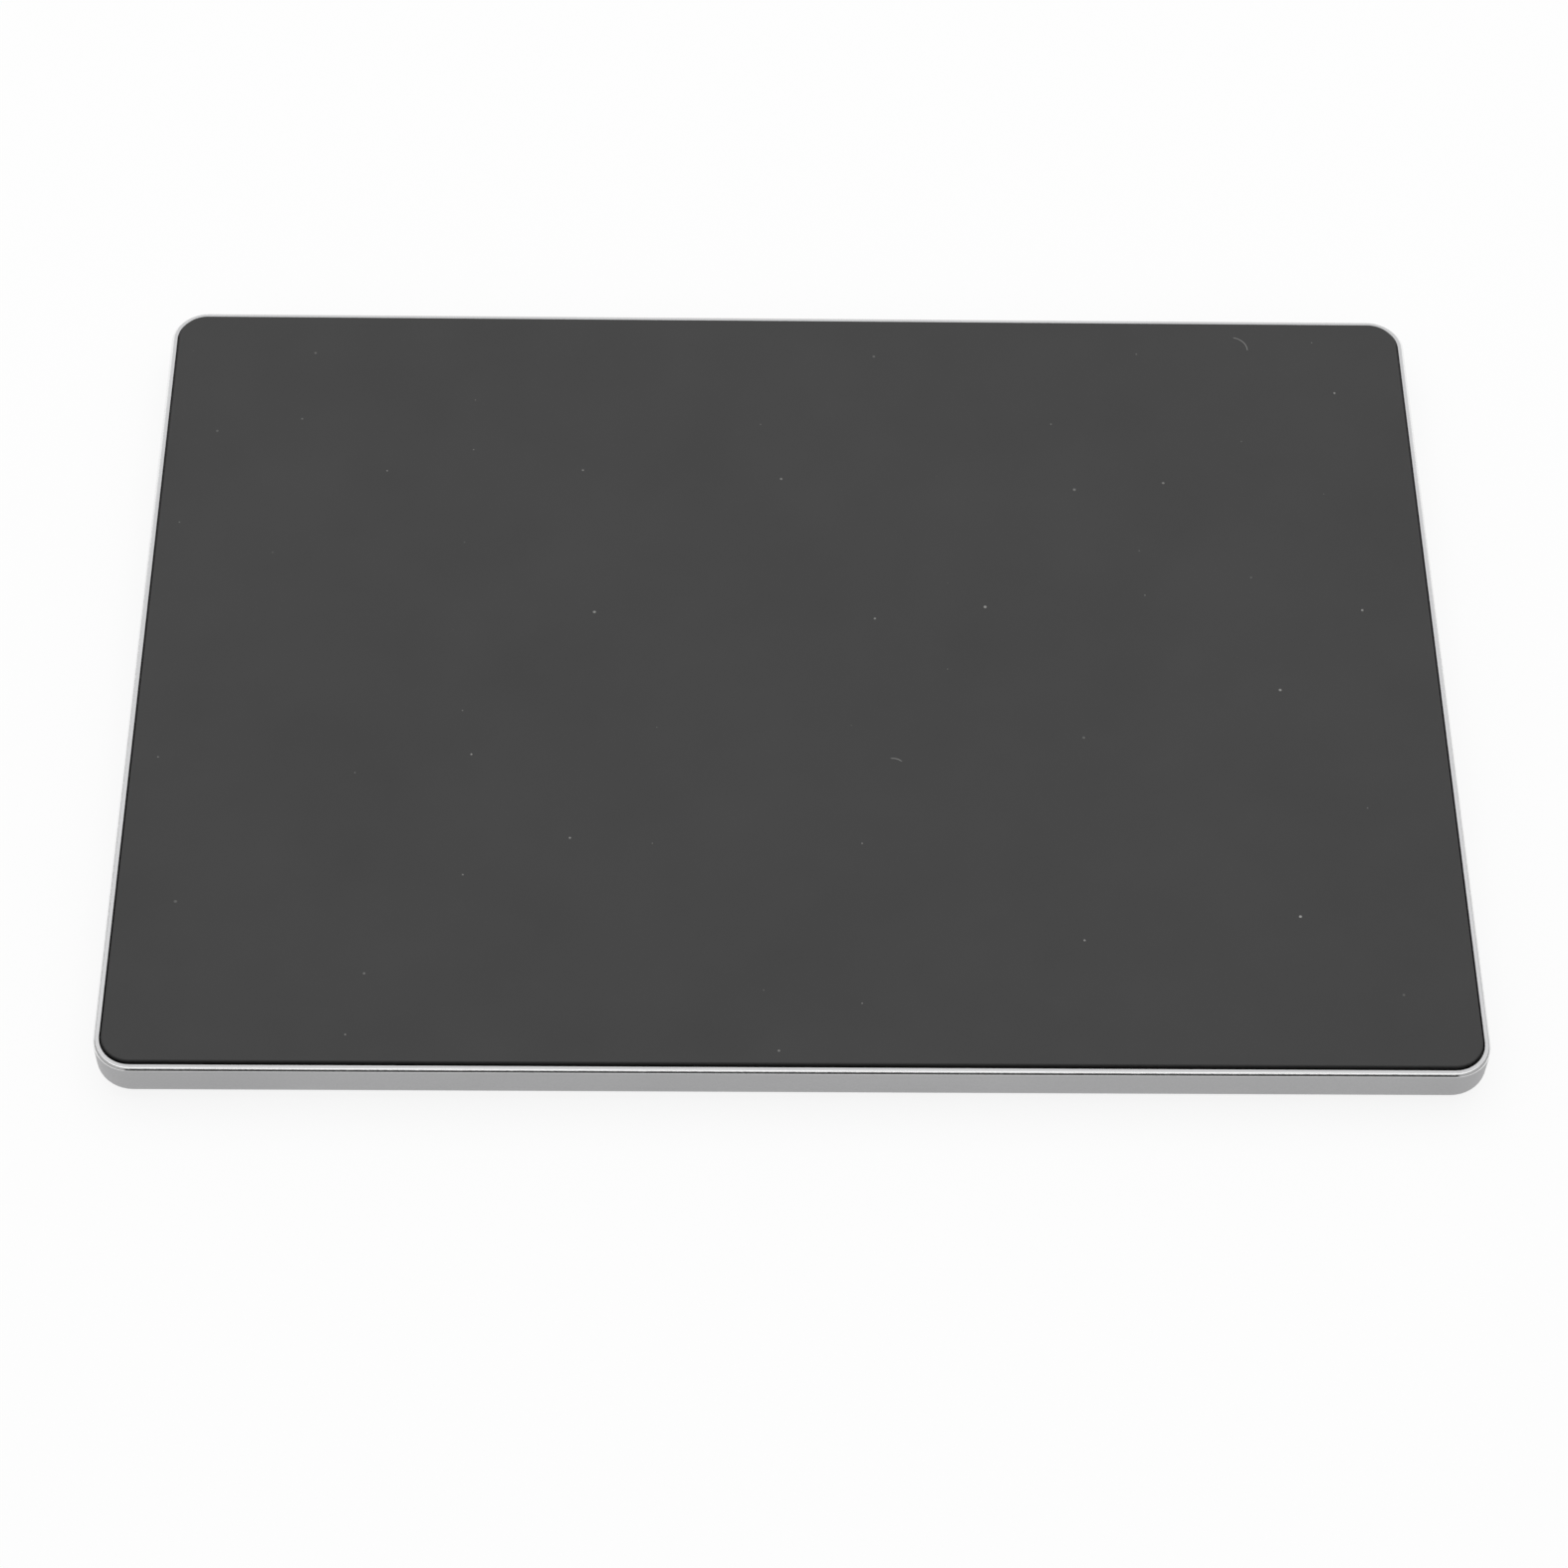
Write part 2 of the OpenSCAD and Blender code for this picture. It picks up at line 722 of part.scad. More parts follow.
// Chip resistors and capacitors beside the touch controller.
passive_size = [1, 0.5, 0.35];
passive_rows = 4;
passive_pitch = 1.5;
passive_gap = 2;
module sensor_passives() {
    first_x = controller_x + controller_size.x / 2 + passive_gap;
    first_y = controller_y - (passive_rows - 1) * passive_pitch / 2;
    color("#b9b2a4") for (i = [0, 1], k = [0:passive_rows - 1])
        translate([first_x + i * passive_gap, first_y + k * passive_pitch, z_sensor - passive_size.z])
        block(passive_size);
}

// Connector body for a flat cable: a box with a slot in one side. It stands on z = 0, centred
// in x, with its mouth at y = 0 and its body toward +y.
module flex_connector(w, h, slot_z) {
    slot_h = flex_t + 2 * flex_slot_gap;
    difference() {
        translate([-w / 2 - connector_margin, 0, 0]) cube([w + 2 * connector_margin, connector_d, h]);
        translate([-w / 2 - flex_slot_gap, -cut, slot_z - flex_slot_gap])
            cube([w + 2 * flex_slot_gap, flex_insert + flex_slot_gap + cut, slot_h]);
    }
}

module sensor_connector() {
    color("#e6e2d6") translate([sensor_flex_x, sensor_plug_y1, z_sensor - connector_h])
        mirror([0, 1, 0]) flex_connector(sensor_flex_w, connector_h, (connector_h - flex_t) / 2);
}

// Flat cables' connectors on the main board: one on top and one below.
module board_connectors() {
    color("#e6e2d6") {
        translate([sensor_flex_x, main_plug_y0, main_z1])
            flex_connector(sensor_flex_w, connector_h, (connector_h - flex_t) / 2);
        translate([click_plug_x, main_plug_y0, main_z0 - click_connector_h])
            flex_connector(click_flex_w, click_connector_h, (click_connector_h - flex_t) / 2);
    }
}

// Flat cable from the sensor board down to the main board.
module sensor_flex() {
    y0 = sensor_plug_y1 - flex_insert;
    y1 = main_plug_y0 + flex_insert;
    mid = (sensor_plug_y1 + main_plug_y0) / 2;
    color("#c98a2b") translate([sensor_flex_x, 0, 0]) strip([
        [y0, sensor_flex_z], [sensor_plug_y1 + flex_straight, sensor_flex_z],
        [mid, (sensor_flex_z + main_flex_z) / 2],
        [main_plug_y0 - flex_straight, main_flex_z], [y1, main_flex_z]
    ], flex_t, sensor_flex_w);
}

// Hinge leaf welded under the stiffener, rolled into a knuckle at its rear.
module hinge_leaf(side) {
    color("#9aa0a6") translate([side * hinge_pitch / 2, hinge_y, 0]) difference() {
        union() {
            translate([-knuckle_l / 2, -leaf_l, z_stiff - leaf_t]) cube([knuckle_l, leaf_l, leaf_t]);
            translate([0, 0, hinge_z]) along_x(knuckle_r, knuckle_l);
        }
        translate([0, 0, hinge_z]) along_x(pin_r + pin_gap, knuckle_l + 2 * cut);
    }
}

// Bearing block for one hinge: two pads that carry the pin, on a base that is screwed to the cover.
module hinge_block(side) {
    pad_h = bay_h - block_top_gap;
    pad_x = knuckle_l / 2 + knuckle_side_gap;
    color("#8d9196") translate([side * hinge_pitch / 2, hinge_y, 0]) difference() {
        translate([0, -block_front, z_floor]) union() {
            translate([-block_reach, 0, 0]) cube([2 * block_reach, block_d, block_base_t]);
            for (s = [0, 1]) mirror([s, 0, 0]) translate([pad_x, 0, 0]) cube([pad_l, block_d, pad_h]);
        }
        translate([0, 0, hinge_z]) along_x(pin_r + thread_gap, 2 * block_reach + 2 * cut);
        for (s = [-1, 1]) translate([s * hinge_screw_x, hinge_screw_y - hinge_y, z_floor - cut])
            cylinder(r = screw_r + thread_gap, h = hinge_screw_l);
    }
}

// Hinge pin with a small head at its outer end.
pin_head_r = 0.8;
pin_head_t = 0.4;
module hinge_pin(side) {
    color("#c9ccd1") translate([side * hinge_pitch / 2, hinge_y, hinge_z]) {
        along_x(pin_r, 2 * block_reach);
        translate([side * (block_reach + pin_head_t / 2), 0, 0]) along_x(pin_head_r, pin_head_t);
    }
}

module press_pad() {
    color("#202020") translate([0, click_y, z_stiff - press_t]) cylinder(r = press_r, h = press_t);
}

module click_board() {
    color("#14401f") difference() {
        translate([0, click_y, z_floor]) block([click_board_w, click_board_d, click_board_t]);
        for (s = [-1, 1]) translate([s * click_stake_x, click_y, z_floor - cut])
            cylinder(r = stake_r + hole_gap, h = click_board_t + 2 * cut);
    }
}

// Switch housing with a round well for the dome and the plunger.
module click_switch_base() {
    base_h = click_cover_z0 - click_base_z0;
    color("#1a1a1c") translate([0, click_y, click_base_z0]) difference() {
        block([click_side, click_side, base_h]);
        translate([0, 0, click_floor_t]) cylinder(r = dome_r + plunger_gap, h = base_h);
    }
}

module click_switch_cover() {
    color("#c9ccd1") translate([0, click_y, click_cover_z0]) difference() {
        block([click_side, click_side, click_cover_t]);
        translate([0, 0, -cut]) cylinder(r = plunger_r + plunger_gap, h = click_cover_t + 2 * cut);
    }
}

// Snap dome on the floor of the switch's well.
dome_z0 = click_base_z0 + click_floor_t;
dome_sphere_r = (dome_r * dome_r + dome_rise * dome_rise) / (2 * dome_rise);
module click_dome() {
    color("gold") translate([0, click_y, dome_z0]) intersection() {
        cylinder(r = dome_r, h = dome_rise + dome_t);
        translate([0, 0, dome_rise - dome_sphere_r]) difference() {
            sphere(dome_sphere_r + dome_t);
            sphere(dome_sphere_r);
        }
    }
}

// Plunger with a flange under the switch's cover.
module click_plunger() {
    foot_z = dome_z0 + dome_rise + dome_t + face_gap;
    flange_z1 = click_cover_z0 - face_gap;
    flange_r = min(plunger_r + plunger_flange, dome_r - plunger_gap);
    color("#303234") translate([0, click_y, 0]) {
        translate([0, 0, foot_z + plunger_flange_t])
            cylinder(r = plunger_r, h = plunger_z1 - foot_z - plunger_flange_t);
        translate([0, 0, flange_z1 - plunger_flange_t]) cylinder(r = flange_r, h = plunger_flange_t);
        translate([0, 0, foot_z]) cylinder(r = plunger_r / 2, h = plunger_flange_t + cut);
    }
}

// Flat cable from the click board, round the cell and up to the main board's lower connector.
module click_flex() {
    lane_y = click_y;
    turn_y = cell_y1 + protection_d + flex_turn_gap + click_flex_w / 2;
    turn_x0 = min(click_plug_x, click_flex_x) - click_flex_w / 2;
    start_x = click_board_w / 2;
    rise_y0 = turn_y + click_flex_w / 2 + flex_rise_gap;
    rise_y1 = main_plug_y0 - flex_straight;
    color("#c98a2b") {
        translate([start_x, lane_y - click_flex_w / 2, z_floor])
            cube([click_flex_x - start_x + click_flex_w / 2, click_flex_w, flex_t]);
        translate([click_flex_x - click_flex_w / 2, lane_y, z_floor])
            cube([click_flex_w, turn_y - lane_y + click_flex_w / 2, flex_t]);
        translate([turn_x0, turn_y - click_flex_w / 2, z_floor])
            cube([abs(click_flex_x - click_plug_x) + click_flex_w, click_flex_w, flex_t]);
        translate([click_plug_x, 0, 0]) strip([
            [turn_y, z_floor], [rise_y0, z_floor], [rise_y1, click_flex_z],
            [main_plug_y0 + flex_insert, click_flex_z]
        ], flex_t, click_flex_w);
    }
}

// Leaf springs that push the plate up, staked to the floor at their rear ends.
module return_springs() {
    rise = bay_h - spring_t - face_gap;
    color("#b8bcc2") for (s = [-1, 1]) translate([s * spring_x, spring_y0, z_floor]) difference() {
        strip([
            [0, 0], [-spring_foot_l, 0], [spring_tip_l - spring_l, rise], [-spring_l, rise - spring_t]
        ], spring_t, spring_w);
        translate([0, -spring_foot_l / 2, -cut])
            cylinder(r = stake_r + hole_gap, h = spring_t + 2 * cut);
    }
}

// Rubber stops that end the plate's travel.
module travel_stops() {
    drop = (hinge_y - stop_y + stop_r) * tan(click_angle) + face_gap;
    color("#202020") for (s = [-1, 1]) translate([s * stop_x, stop_y, z_floor])
        cylinder(r = stop_r, h = bay_h - drop);
}

// Pouch cell.
module battery_cell() {
    cell_corner = 2;
    cell_edge = 0.5;
    color("#c4c8cc") translate([0, (cell_y0 + cell_y1) / 2, cell_z0])
        slab(battery_w, battery_d, cell_corner, battery_t, cell_edge, cell_edge);
}

module battery_tape() {
    tape_margin = 4;
    color("#f2f0e6") translate([0, (cell_y0 + cell_y1) / 2, z_floor])
        block([battery_w - 2 * tape_margin, battery_d - 2 * tape_margin, tape_t]);
}

// Protection board on the rear edge of the cell.
module protection_board() {
    chip = [3, 1.8, 0.7];
    chip_places = [-6, 2];
    color("#14401f") translate([0, cell_y1 + protection_d / 2, protection_z0]) {
        block([protection_w, protection_d, protection_t]);
        for (x = chip_places) translate([x, 0, protection_t]) block(chip);
    }
}

// Battery lead from the protection board to the plug; shift is the lead's place along the board.
lead_z0 = protection_z0 + protection_t + lead_r + face_gap;
lead_pitch = 1.6;
lead_y0 = cell_y1 + protection_d / 2;
plug_y0 = socket_y0 + plug_sink;
plug_z0 = main_z1 + socket_floor;
lead_x0 = lead_inset - protection_w / 2;
lead_end = lead_route[len(lead_route) - 1];
lead_sway = (socket_x - lead_x0) / lead_end.x;
lead_stretch = (plug_y0 - lead_y0) / lead_end.y;
lead_lift = (plug_z0 + plug_size.z / 2 - lead_z0) / lead_end.z;
module battery_lead(shift, shade) {
    color(shade) wire([
        for (p = lead_route)
        [
            lead_x0 + shift + p.x * lead_sway,
            lead_y0 + p.y * lead_stretch,
            lead_z0 + p.z * lead_lift
        ]
    ], lead_r, lead_sides);
}

module battery_plug() {
    color("#f4f4f0") translate([socket_x, plug_y0 + plug_size.y / 2, plug_z0]) block(plug_size);
}

module battery_socket() {
    well = [plug_size.x + 2 * port_gap, plug_y0 - socket_y0 + plug_size.y + port_gap, plug_size.z];
    color("#f4f4f0") translate([socket_x, socket_y0, main_z1]) difference() {
        translate([0, socket_d / 2, 0]) block([socket_w, socket_d, socket_floor + plug_size.z]);
        translate([-well.x / 2, -cut, socket_floor]) cube(well + [0, cut, cut]);
    }
}

// Main board, notched for the parts that sit in its rear edge.
module main_board() {
    color("#14401f") difference() {
        translate([-main_w / 2, main_y0, main_z0]) cube([main_w, main_d, main_t]);
        rear_notch(0, usb_w, case_d / 2 - usb_nose - usb_l);
        rear_notch(power_x, power_body.x, power_y1 - power_body.y);
        rear_notch(pair_x, pair_body.x, pair_body_y1 - pair_body.y);
        for (p = main_screw_points) translate([p.x, p.y, main_z0 - cut])
            cylinder(r = main_hole_r, h = main_t + 2 * cut);
    }
}

// Notch in the main board's rear edge around a part of width w that starts at y0.
module rear_notch(x, w, y0) {
    translate([x - w / 2 - face_gap, y0 - face_gap, main_z0 - cut])
        cube([w + 2 * face_gap, main_d, main_t + 2 * cut]);
}

// Pan-head screws that hold the main board on its bosses.
module board_screws() {
    color("gray") for (p = main_screw_points) translate([p.x, p.y, main_z1]) difference() {
        union() {
            cylinder(r = main_screw_head_r, h = main_screw_head_h);
            translate([0, 0, -main_screw_l + face_gap]) cylinder(r = main_screw_r, h = main_screw_l);
        }
        translate([0, 0, main_screw_head_h]) mirror([0, 0, 1]) cross_recess(main_screw_head_r);
    }
}

// Shield can over the radio.
shield_size = [9, 7, 1.3];
shield_x = 11;
shield_front = 1;
module radio_shield() {
    can_t = 0.2;
    shield_y = main_y0 + shield_front + shield_size.y / 2;
    color("#c9ccd1") translate([shield_x, shield_y, main_z1]) difference() {
        block(shield_size);
        translate([0, 0, -cut])
            block([shield_size.x - 2 * can_t, shield_size.y - 2 * can_t, shield_size.z - can_t + cut]);
    }
}

antenna_size = [5, 2, 1];
antenna_inset = 4;
module chip_antenna() {
    color("#e9e4d8") translate([main_w / 2 - antenna_inset, main_y1 - antenna_size.y, main_z1])
        block(antenna_size);
}

// Chips on the main board: the radio chip under the shield, the charger, its coil, a crystal,
// a sense resistor beside the flat cable and a row of capacitors.
radio_size = [5, 5, 0.8];
charger_size = [3, 3, 0.8];
charger_inset = 13;
charger_front = 2.6;
coil_size = [2.5, 2.2, 1];
coil_inset = 9.5;
crystal_size = [2, 1.6, 0.6];
crystal_front = 6.2;
sense_size = [1.6, 0.8, 0.5];
sense_gap = 2;
sense_front = 3;
sense_x = sensor_flex_x - sensor_flex_w / 2 - connector_margin - sense_gap;
capacitor_size = [0.8, 1.6, 0.6];
capacitor_count = 4;
capacitor_pitch = 1.6;
module board_chips() {
    charger_x = main_w / 2 - charger_inset;
    coil_x = main_w / 2 - coil_inset;
    color("#1a1a1c") translate([0, main_y0, main_z1]) {
        translate([shield_x, shield_front + shield_size.y / 2, 0]) block(radio_size);
        translate([charger_x, charger_front, 0]) block(charger_size);
        translate([coil_x, charger_front, 0]) block(coil_size);
        translate([charger_x, crystal_front, 0]) block(crystal_size);
        translate([sense_x, sense_front, 0]) block(sense_size);
        for (k = [0:capacitor_count - 1])
            translate([coil_x + k * capacitor_pitch, crystal_front, 0]) block(capacitor_size);
    }
}

// Receptacle shell, open to the rear.
module usb_shell() {
    color("#c9ccd1") translate([0, case_d / 2 - usb_nose, port_z]) rotate([90, 0, 0]) difference() {
        linear_extrude(usb_l) slot(usb_w, usb_h);
        translate([0, 0, -cut]) linear_extrude(usb_l - usb_wall + cut)
            slot(usb_w - 2 * usb_wall, usb_h - 2 * usb_wall);
    }
}

// Insulator: a base at the back of the shell and the tongue that a plug slides over.
usb_base_l = 2;
tongue_w = 6.7;
tongue_t = 0.7;
tongue_back = 0.9;
module usb_tongue() {
    fill = thread_gap;
    y1 = case_d / 2 - usb_nose - usb_l + usb_wall;
    color("#1a1a1c") translate([0, y1, port_z]) {
        translate([0, usb_base_l, 0]) rotate([90, 0, 0]) linear_extrude(usb_base_l - fill)
            slot(usb_w - 2 * usb_wall - 2 * fill, usb_h - 2 * usb_wall - 2 * fill);
        translate([-tongue_w / 2, usb_base_l - cut, -tongue_t / 2])
            cube([tongue_w, usb_l - usb_wall - usb_base_l - tongue_back, tongue_t]);
    }
}

// Gold contacts on both faces of the tongue.
contact_count = 12;
contact_pitch = 0.5;
contact_size = [0.25, 3.2, 0.05];
contact_gap = 0.2;
module usb_contacts() {
    y0 = case_d / 2 - usb_nose - usb_l + usb_wall + usb_base_l + contact_gap;
    first = -(contact_count - 1) * contact_pitch / 2;
    color("gold") for (k = [0:contact_count - 1], s = [0, 1])
        translate([first + k * contact_pitch, y0 + contact_size.y / 2, port_z])
        mirror([0, 0, s]) translate([0, 0, tongue_t / 2]) block(contact_size);
}

// Slide switch body, with a slot for the slider's stem.
module power_switch() {
    color("#1a1a1c") translate([power_x, power_y1, port_z]) difference() {
        translate([0, -power_body.y / 2, -power_body.z / 2]) block(power_body);
        translate([-(stem_w + power_travel) / 2 - port_gap, -stem_l - port_gap, -stem_h / 2 - port_gap])
            cube([stem_w + power_travel + 2 * port_gap, stem_l + port_gap + cut, stem_h + 2 * port_gap]);
    }
}

// Slider, at the off end of its slot, with three grip ridges.
ridge_w = 0.35;
ridge_pitch = 0.9;
ridge_h = 0.25;
module power_slider() {
    knob_y0 = power_y1 + power_body_gap / 2;
    knob_y1 = case_d / 2 - knob_sink - ridge_h;
    color("#d8d8da") translate([power_x - power_travel / 2, 0, port_z]) {
        translate([-stem_w / 2, power_y1 - stem_l, -stem_h / 2])
            cube([stem_w, stem_l + power_body_gap / 2 + cut, stem_h]);
        translate([-knob_w / 2, knob_y0, -knob_h / 2]) cube([knob_w, knob_y1 - knob_y0, knob_h]);
        for (k = [-1:1]) translate([k * ridge_pitch - ridge_w / 2, knob_y1 - cut, -knob_h / 2])
            cube([ridge_w, ridge_h + cut, knob_h]);
    }
}

module pair_switch() {
    color("#1a1a1c") translate([pair_x, pair_body_y1, port_z]) difference() {
        translate([0, -pair_body.y / 2, -pair_body.z / 2]) block(pair_body);
        along_y(pair_stem_r + port_gap, -pair_stem_l - pair_travel, cut);
    }
}

// Push button: a cap in the window, a flange behind it and a stem in the switch.
module pair_button() {
    flange_y0 = pair_flange_y1 - pair_flange_t;
    color("#3a3a3c") translate([pair_x, 0, port_z]) {
        along_y(pair_r, pair_flange_y1 - cut, case_d / 2 - knob_sink);
        along_y(pair_flange_r, flange_y0, pair_flange_y1);
        along_y(pair_stem_r, pair_body_y1 - pair_stem_l + pair_travel, flange_y0 + cut);
    }
}

module status_led() {
    color("#f5f0d0") translate([light_x, main_y1 - led_size.y / 2 - face_gap, main_z1]) block(led_size);
}

// Clear pipe between the board's edge and the wall that carries the light down to the window.
module light_pipe() {
    block_z0 = port_z - light_r;
    block_y0 = main_y1 + face_gap;
    block_y1 = case_d / 2 - wall_t - face_gap;
    color("#e8f0f4") translate([light_x, 0, 0]) {
        translate([-light_block_w / 2, block_y0, block_z0])
            cube([light_block_w, block_y1 - block_y0, main_z1 + led_size.z - block_z0]);
        translate([0, 0, port_z]) along_y(light_r, block_y1 - cut, case_d / 2 - knob_sink);
    }
}

case_frame();
bottom_cover();
rear_window_left();
rear_window_right();
port_plate();
gap_liner();
cover_screws();
hinge_screws();
foot(-1, -1);  // foot_front_left
foot(1, -1);  // foot_front_right
foot(-1, 1);  // foot_rear_left
foot(1, 1);  // foot_rear_right
glass_plate();
glass_adhesive();
sensor_board();
touch_controller();
sensor_passives();
sensor_connector();
bond_film();
stiffener_plate();
hinge_leaf(-1);  // hinge_leaf_left
hinge_leaf(1);  // hinge_leaf_right
press_pad();
hinge_block(-1);  // hinge_block_left
hinge_block(1);  // hinge_block_right
hinge_pin(-1);  // hinge_pin_left
hinge_pin(1);  // hinge_pin_right
click_board();
click_switch_base();
click_switch_cover();
click_dome();
click_plunger();
click_flex();
return_springs();
travel_stops();
battery_cell();
battery_tape();
protection_board();
battery_lead(lead_pitch / 2, "firebrick");  // battery_lead_red
battery_lead(-lead_pitch / 2, "#18181a");  // battery_lead_black
battery_plug();
battery_socket();
main_board();
board_screws();
radio_shield();
chip_antenna();
board_chips();
board_connectors();
sensor_flex();
usb_shell();
usb_tongue();
usb_contacts();
power_switch();
power_slider();
pair_switch();
pair_button();
status_led();
light_pipe();
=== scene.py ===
"""Looks of the wireless trackpad: finishes, rounded edges and the studio around it. Metres, +Z up."""

import json
import math

import bmesh
import bpy
from mathutils import Matrix, Vector


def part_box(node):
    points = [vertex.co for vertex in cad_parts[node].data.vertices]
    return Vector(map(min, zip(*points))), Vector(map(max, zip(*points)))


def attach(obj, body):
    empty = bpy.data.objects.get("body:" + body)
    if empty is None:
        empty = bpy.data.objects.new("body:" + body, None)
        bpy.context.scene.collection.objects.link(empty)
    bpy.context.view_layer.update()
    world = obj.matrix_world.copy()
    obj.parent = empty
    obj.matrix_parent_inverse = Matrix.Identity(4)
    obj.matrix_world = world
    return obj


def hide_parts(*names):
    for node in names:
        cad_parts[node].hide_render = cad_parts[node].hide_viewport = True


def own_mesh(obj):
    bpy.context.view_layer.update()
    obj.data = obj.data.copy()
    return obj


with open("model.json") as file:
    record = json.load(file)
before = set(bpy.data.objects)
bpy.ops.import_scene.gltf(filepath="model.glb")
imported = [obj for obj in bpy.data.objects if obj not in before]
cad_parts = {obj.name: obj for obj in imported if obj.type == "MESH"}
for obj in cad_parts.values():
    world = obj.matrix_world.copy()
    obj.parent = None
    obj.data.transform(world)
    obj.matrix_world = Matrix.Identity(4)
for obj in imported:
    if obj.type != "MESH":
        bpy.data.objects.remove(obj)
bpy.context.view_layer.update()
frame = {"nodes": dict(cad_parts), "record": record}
nodes = frame["nodes"]

MM = 0.001
WELD = 0.002 * MM
FLAT = math.radians(0.5)
SHARP = math.radians(28)
EDGE_STEPS = 6


# Node helpers

class Finish:
    """A material around one Principled shader, with short ways to add nodes. Lengths are in millimetres."""

    def __init__(self, name, **sockets):
        self.material = bpy.data.materials.new(name)
        self.material.use_nodes = True
        self.tree = self.material.node_tree
        self.shader = next(n for n in self.tree.nodes if n.type == "BSDF_PRINCIPLED")
        for socket, value in sockets.items():
            self.set(socket.replace("_", " ").title().replace("Ior", "IOR"), value)
        place = self.add("ShaderNodeTexCoord")
        scale = self.add("ShaderNodeVectorMath", place.outputs["Object"], operation="SCALE")
        scale.inputs["Scale"].default_value = 1 / MM
        self.place = scale.outputs["Vector"]

    def set(self, socket, value):
        """Sets a shader socket to a value, or links it to a node's output."""
        self.feed(self.shader.inputs[socket], value)

    def feed(self, socket, value):
        """Sets or links any node's socket; a colour gets its alpha."""
        if isinstance(value, bpy.types.NodeSocket):
            self.tree.links.new(value, socket)
        elif hasattr(value, "__len__") and len(value) == 3 and socket.type == "RGBA":
            socket.default_value = (*value, 1.0)
        else:
            socket.default_value = value

    def add(self, kind, *inputs, **settings):
        """Adds a node; inputs fill its sockets in order."""
        node = self.tree.nodes.new(kind)
        for key, value in settings.items():
            setattr(node, key, value)
        for socket, value in zip(node.inputs, inputs):
            self.feed(socket, value)
        return node

    def math(self, operation, a, b=0.0, c=0.0):
        return self.add("ShaderNodeMath", a, b, c, operation=operation).outputs[0]

    def stretched(self, x, y, z):
        """The place in millimetres, scaled along each axis."""
        return self.add("ShaderNodeVectorMath", self.place, (x, y, z), operation="MULTIPLY").outputs[0]

    def noise(self, per_mm, detail=3.0, roughness=0.55, place=None):
        node = self.add("ShaderNodeTexNoise", place or self.place)
        node.inputs["Scale"].default_value = per_mm
        node.inputs["Detail"].default_value = detail
        node.inputs["Roughness"].default_value = roughness
        return node.outputs["Fac"]

    def cells(self, per_mm, feature="F1", place=None):
        node = self.add("ShaderNodeTexVoronoi", place or self.place, feature=feature)
        node.inputs["Scale"].default_value = per_mm
        return node

    def span(self, value, low, high, to_low=0.0, to_high=1.0):
        """Maps low..high of a value to to_low..to_high, and holds it there outside."""
        return self.add("ShaderNodeMapRange", value, low, high, to_low, to_high).outputs[0]

    def mix(self, share, first, second):
        """Colour between first and second."""
        node = self.add("ShaderNodeMix", data_type="RGBA")
        self.feed(node.inputs["Factor"], share)
        self.feed(node.inputs["A"], first)
        self.feed(node.inputs["B"], second)
        return node.outputs["Result"]

    def bump(self, height, depth_mm, strength, under=None):
        """A bumped normal, on top of the one under it."""
        node = self.add("ShaderNodeBump")
        self.feed(node.inputs["Height"], height)
        node.inputs["Strength"].default_value = strength
        node.inputs["Distance"].default_value = depth_mm * MM
        if under is not None:
            self.feed(node.inputs["Normal"], under)
        return node.outputs["Normal"]


def shade(color, factor):
    return tuple(min(1.0, c * factor) for c in color)


# Finishes

def etched_glass():
    """Matte etched glass over a dark coating, with a little dust on it."""
    dark = (0.0255, 0.0255, 0.0255)
    dust = (0.30, 0.30, 0.29)
    f = Finish("dark_glass", specular_ior_level=0.30)
    haze = f.noise(0.03, 2.0)
    etch = f.noise(9.0, 2.0)
    tone = f.mix(f.span(haze, 0.35, 0.65), shade(dark, 0.96), shade(dark, 1.05))
    tone = f.mix(f.span(etch, 0.3, 0.7, 0.0, 0.35), tone, shade(dark, 1.25))
    f.set("Base Color", f.mix(dust_mask(f), tone, dust))
    f.set("Roughness", f.span(f.noise(0.08), 0.3, 0.7, 0.50, 0.56))
    f.set("Normal", f.bump(etch, 0.004, 0.35))
    return f.material


# Lint fibres: centre of the arc, its radius, its middle's direction and half its angle, in mm and degrees
FIBRES = [
    ((57.4, 52.0), 2.1, 38, 40),
    ((12.1, -15.2), 1.5, 72, 26),
]


def dust_mask(f):
    """Sparse specks, and two lint fibres that lie on the plate as short arcs."""
    speck_pitch = 12.0
    speck_r = 0.19
    flat = f.add("ShaderNodeVectorMath", f.place, (1.0, 1.0, 0.0), operation="MULTIPLY").outputs[0]
    cells = f.cells(1 / speck_pitch, place=flat)
    cells.voronoi_dimensions = "2D"
    pick = f.add("ShaderNodeSeparateColor", cells.outputs["Color"])
    size = f.span(pick.outputs[0], 0.45, 1.0, 0.0, speck_r / speck_pitch)
    inside = f.math("LESS_THAN", cells.outputs["Distance"], size)
    mask = f.math("MULTIPLY", inside, f.span(pick.outputs[1], 0.0, 1.0, 0.15, 0.9))
    for centre, radius, toward, spread in FIBRES:
        mask = f.math("MAXIMUM", mask, arc_mask(f, flat, centre, radius, toward, spread))
    return mask


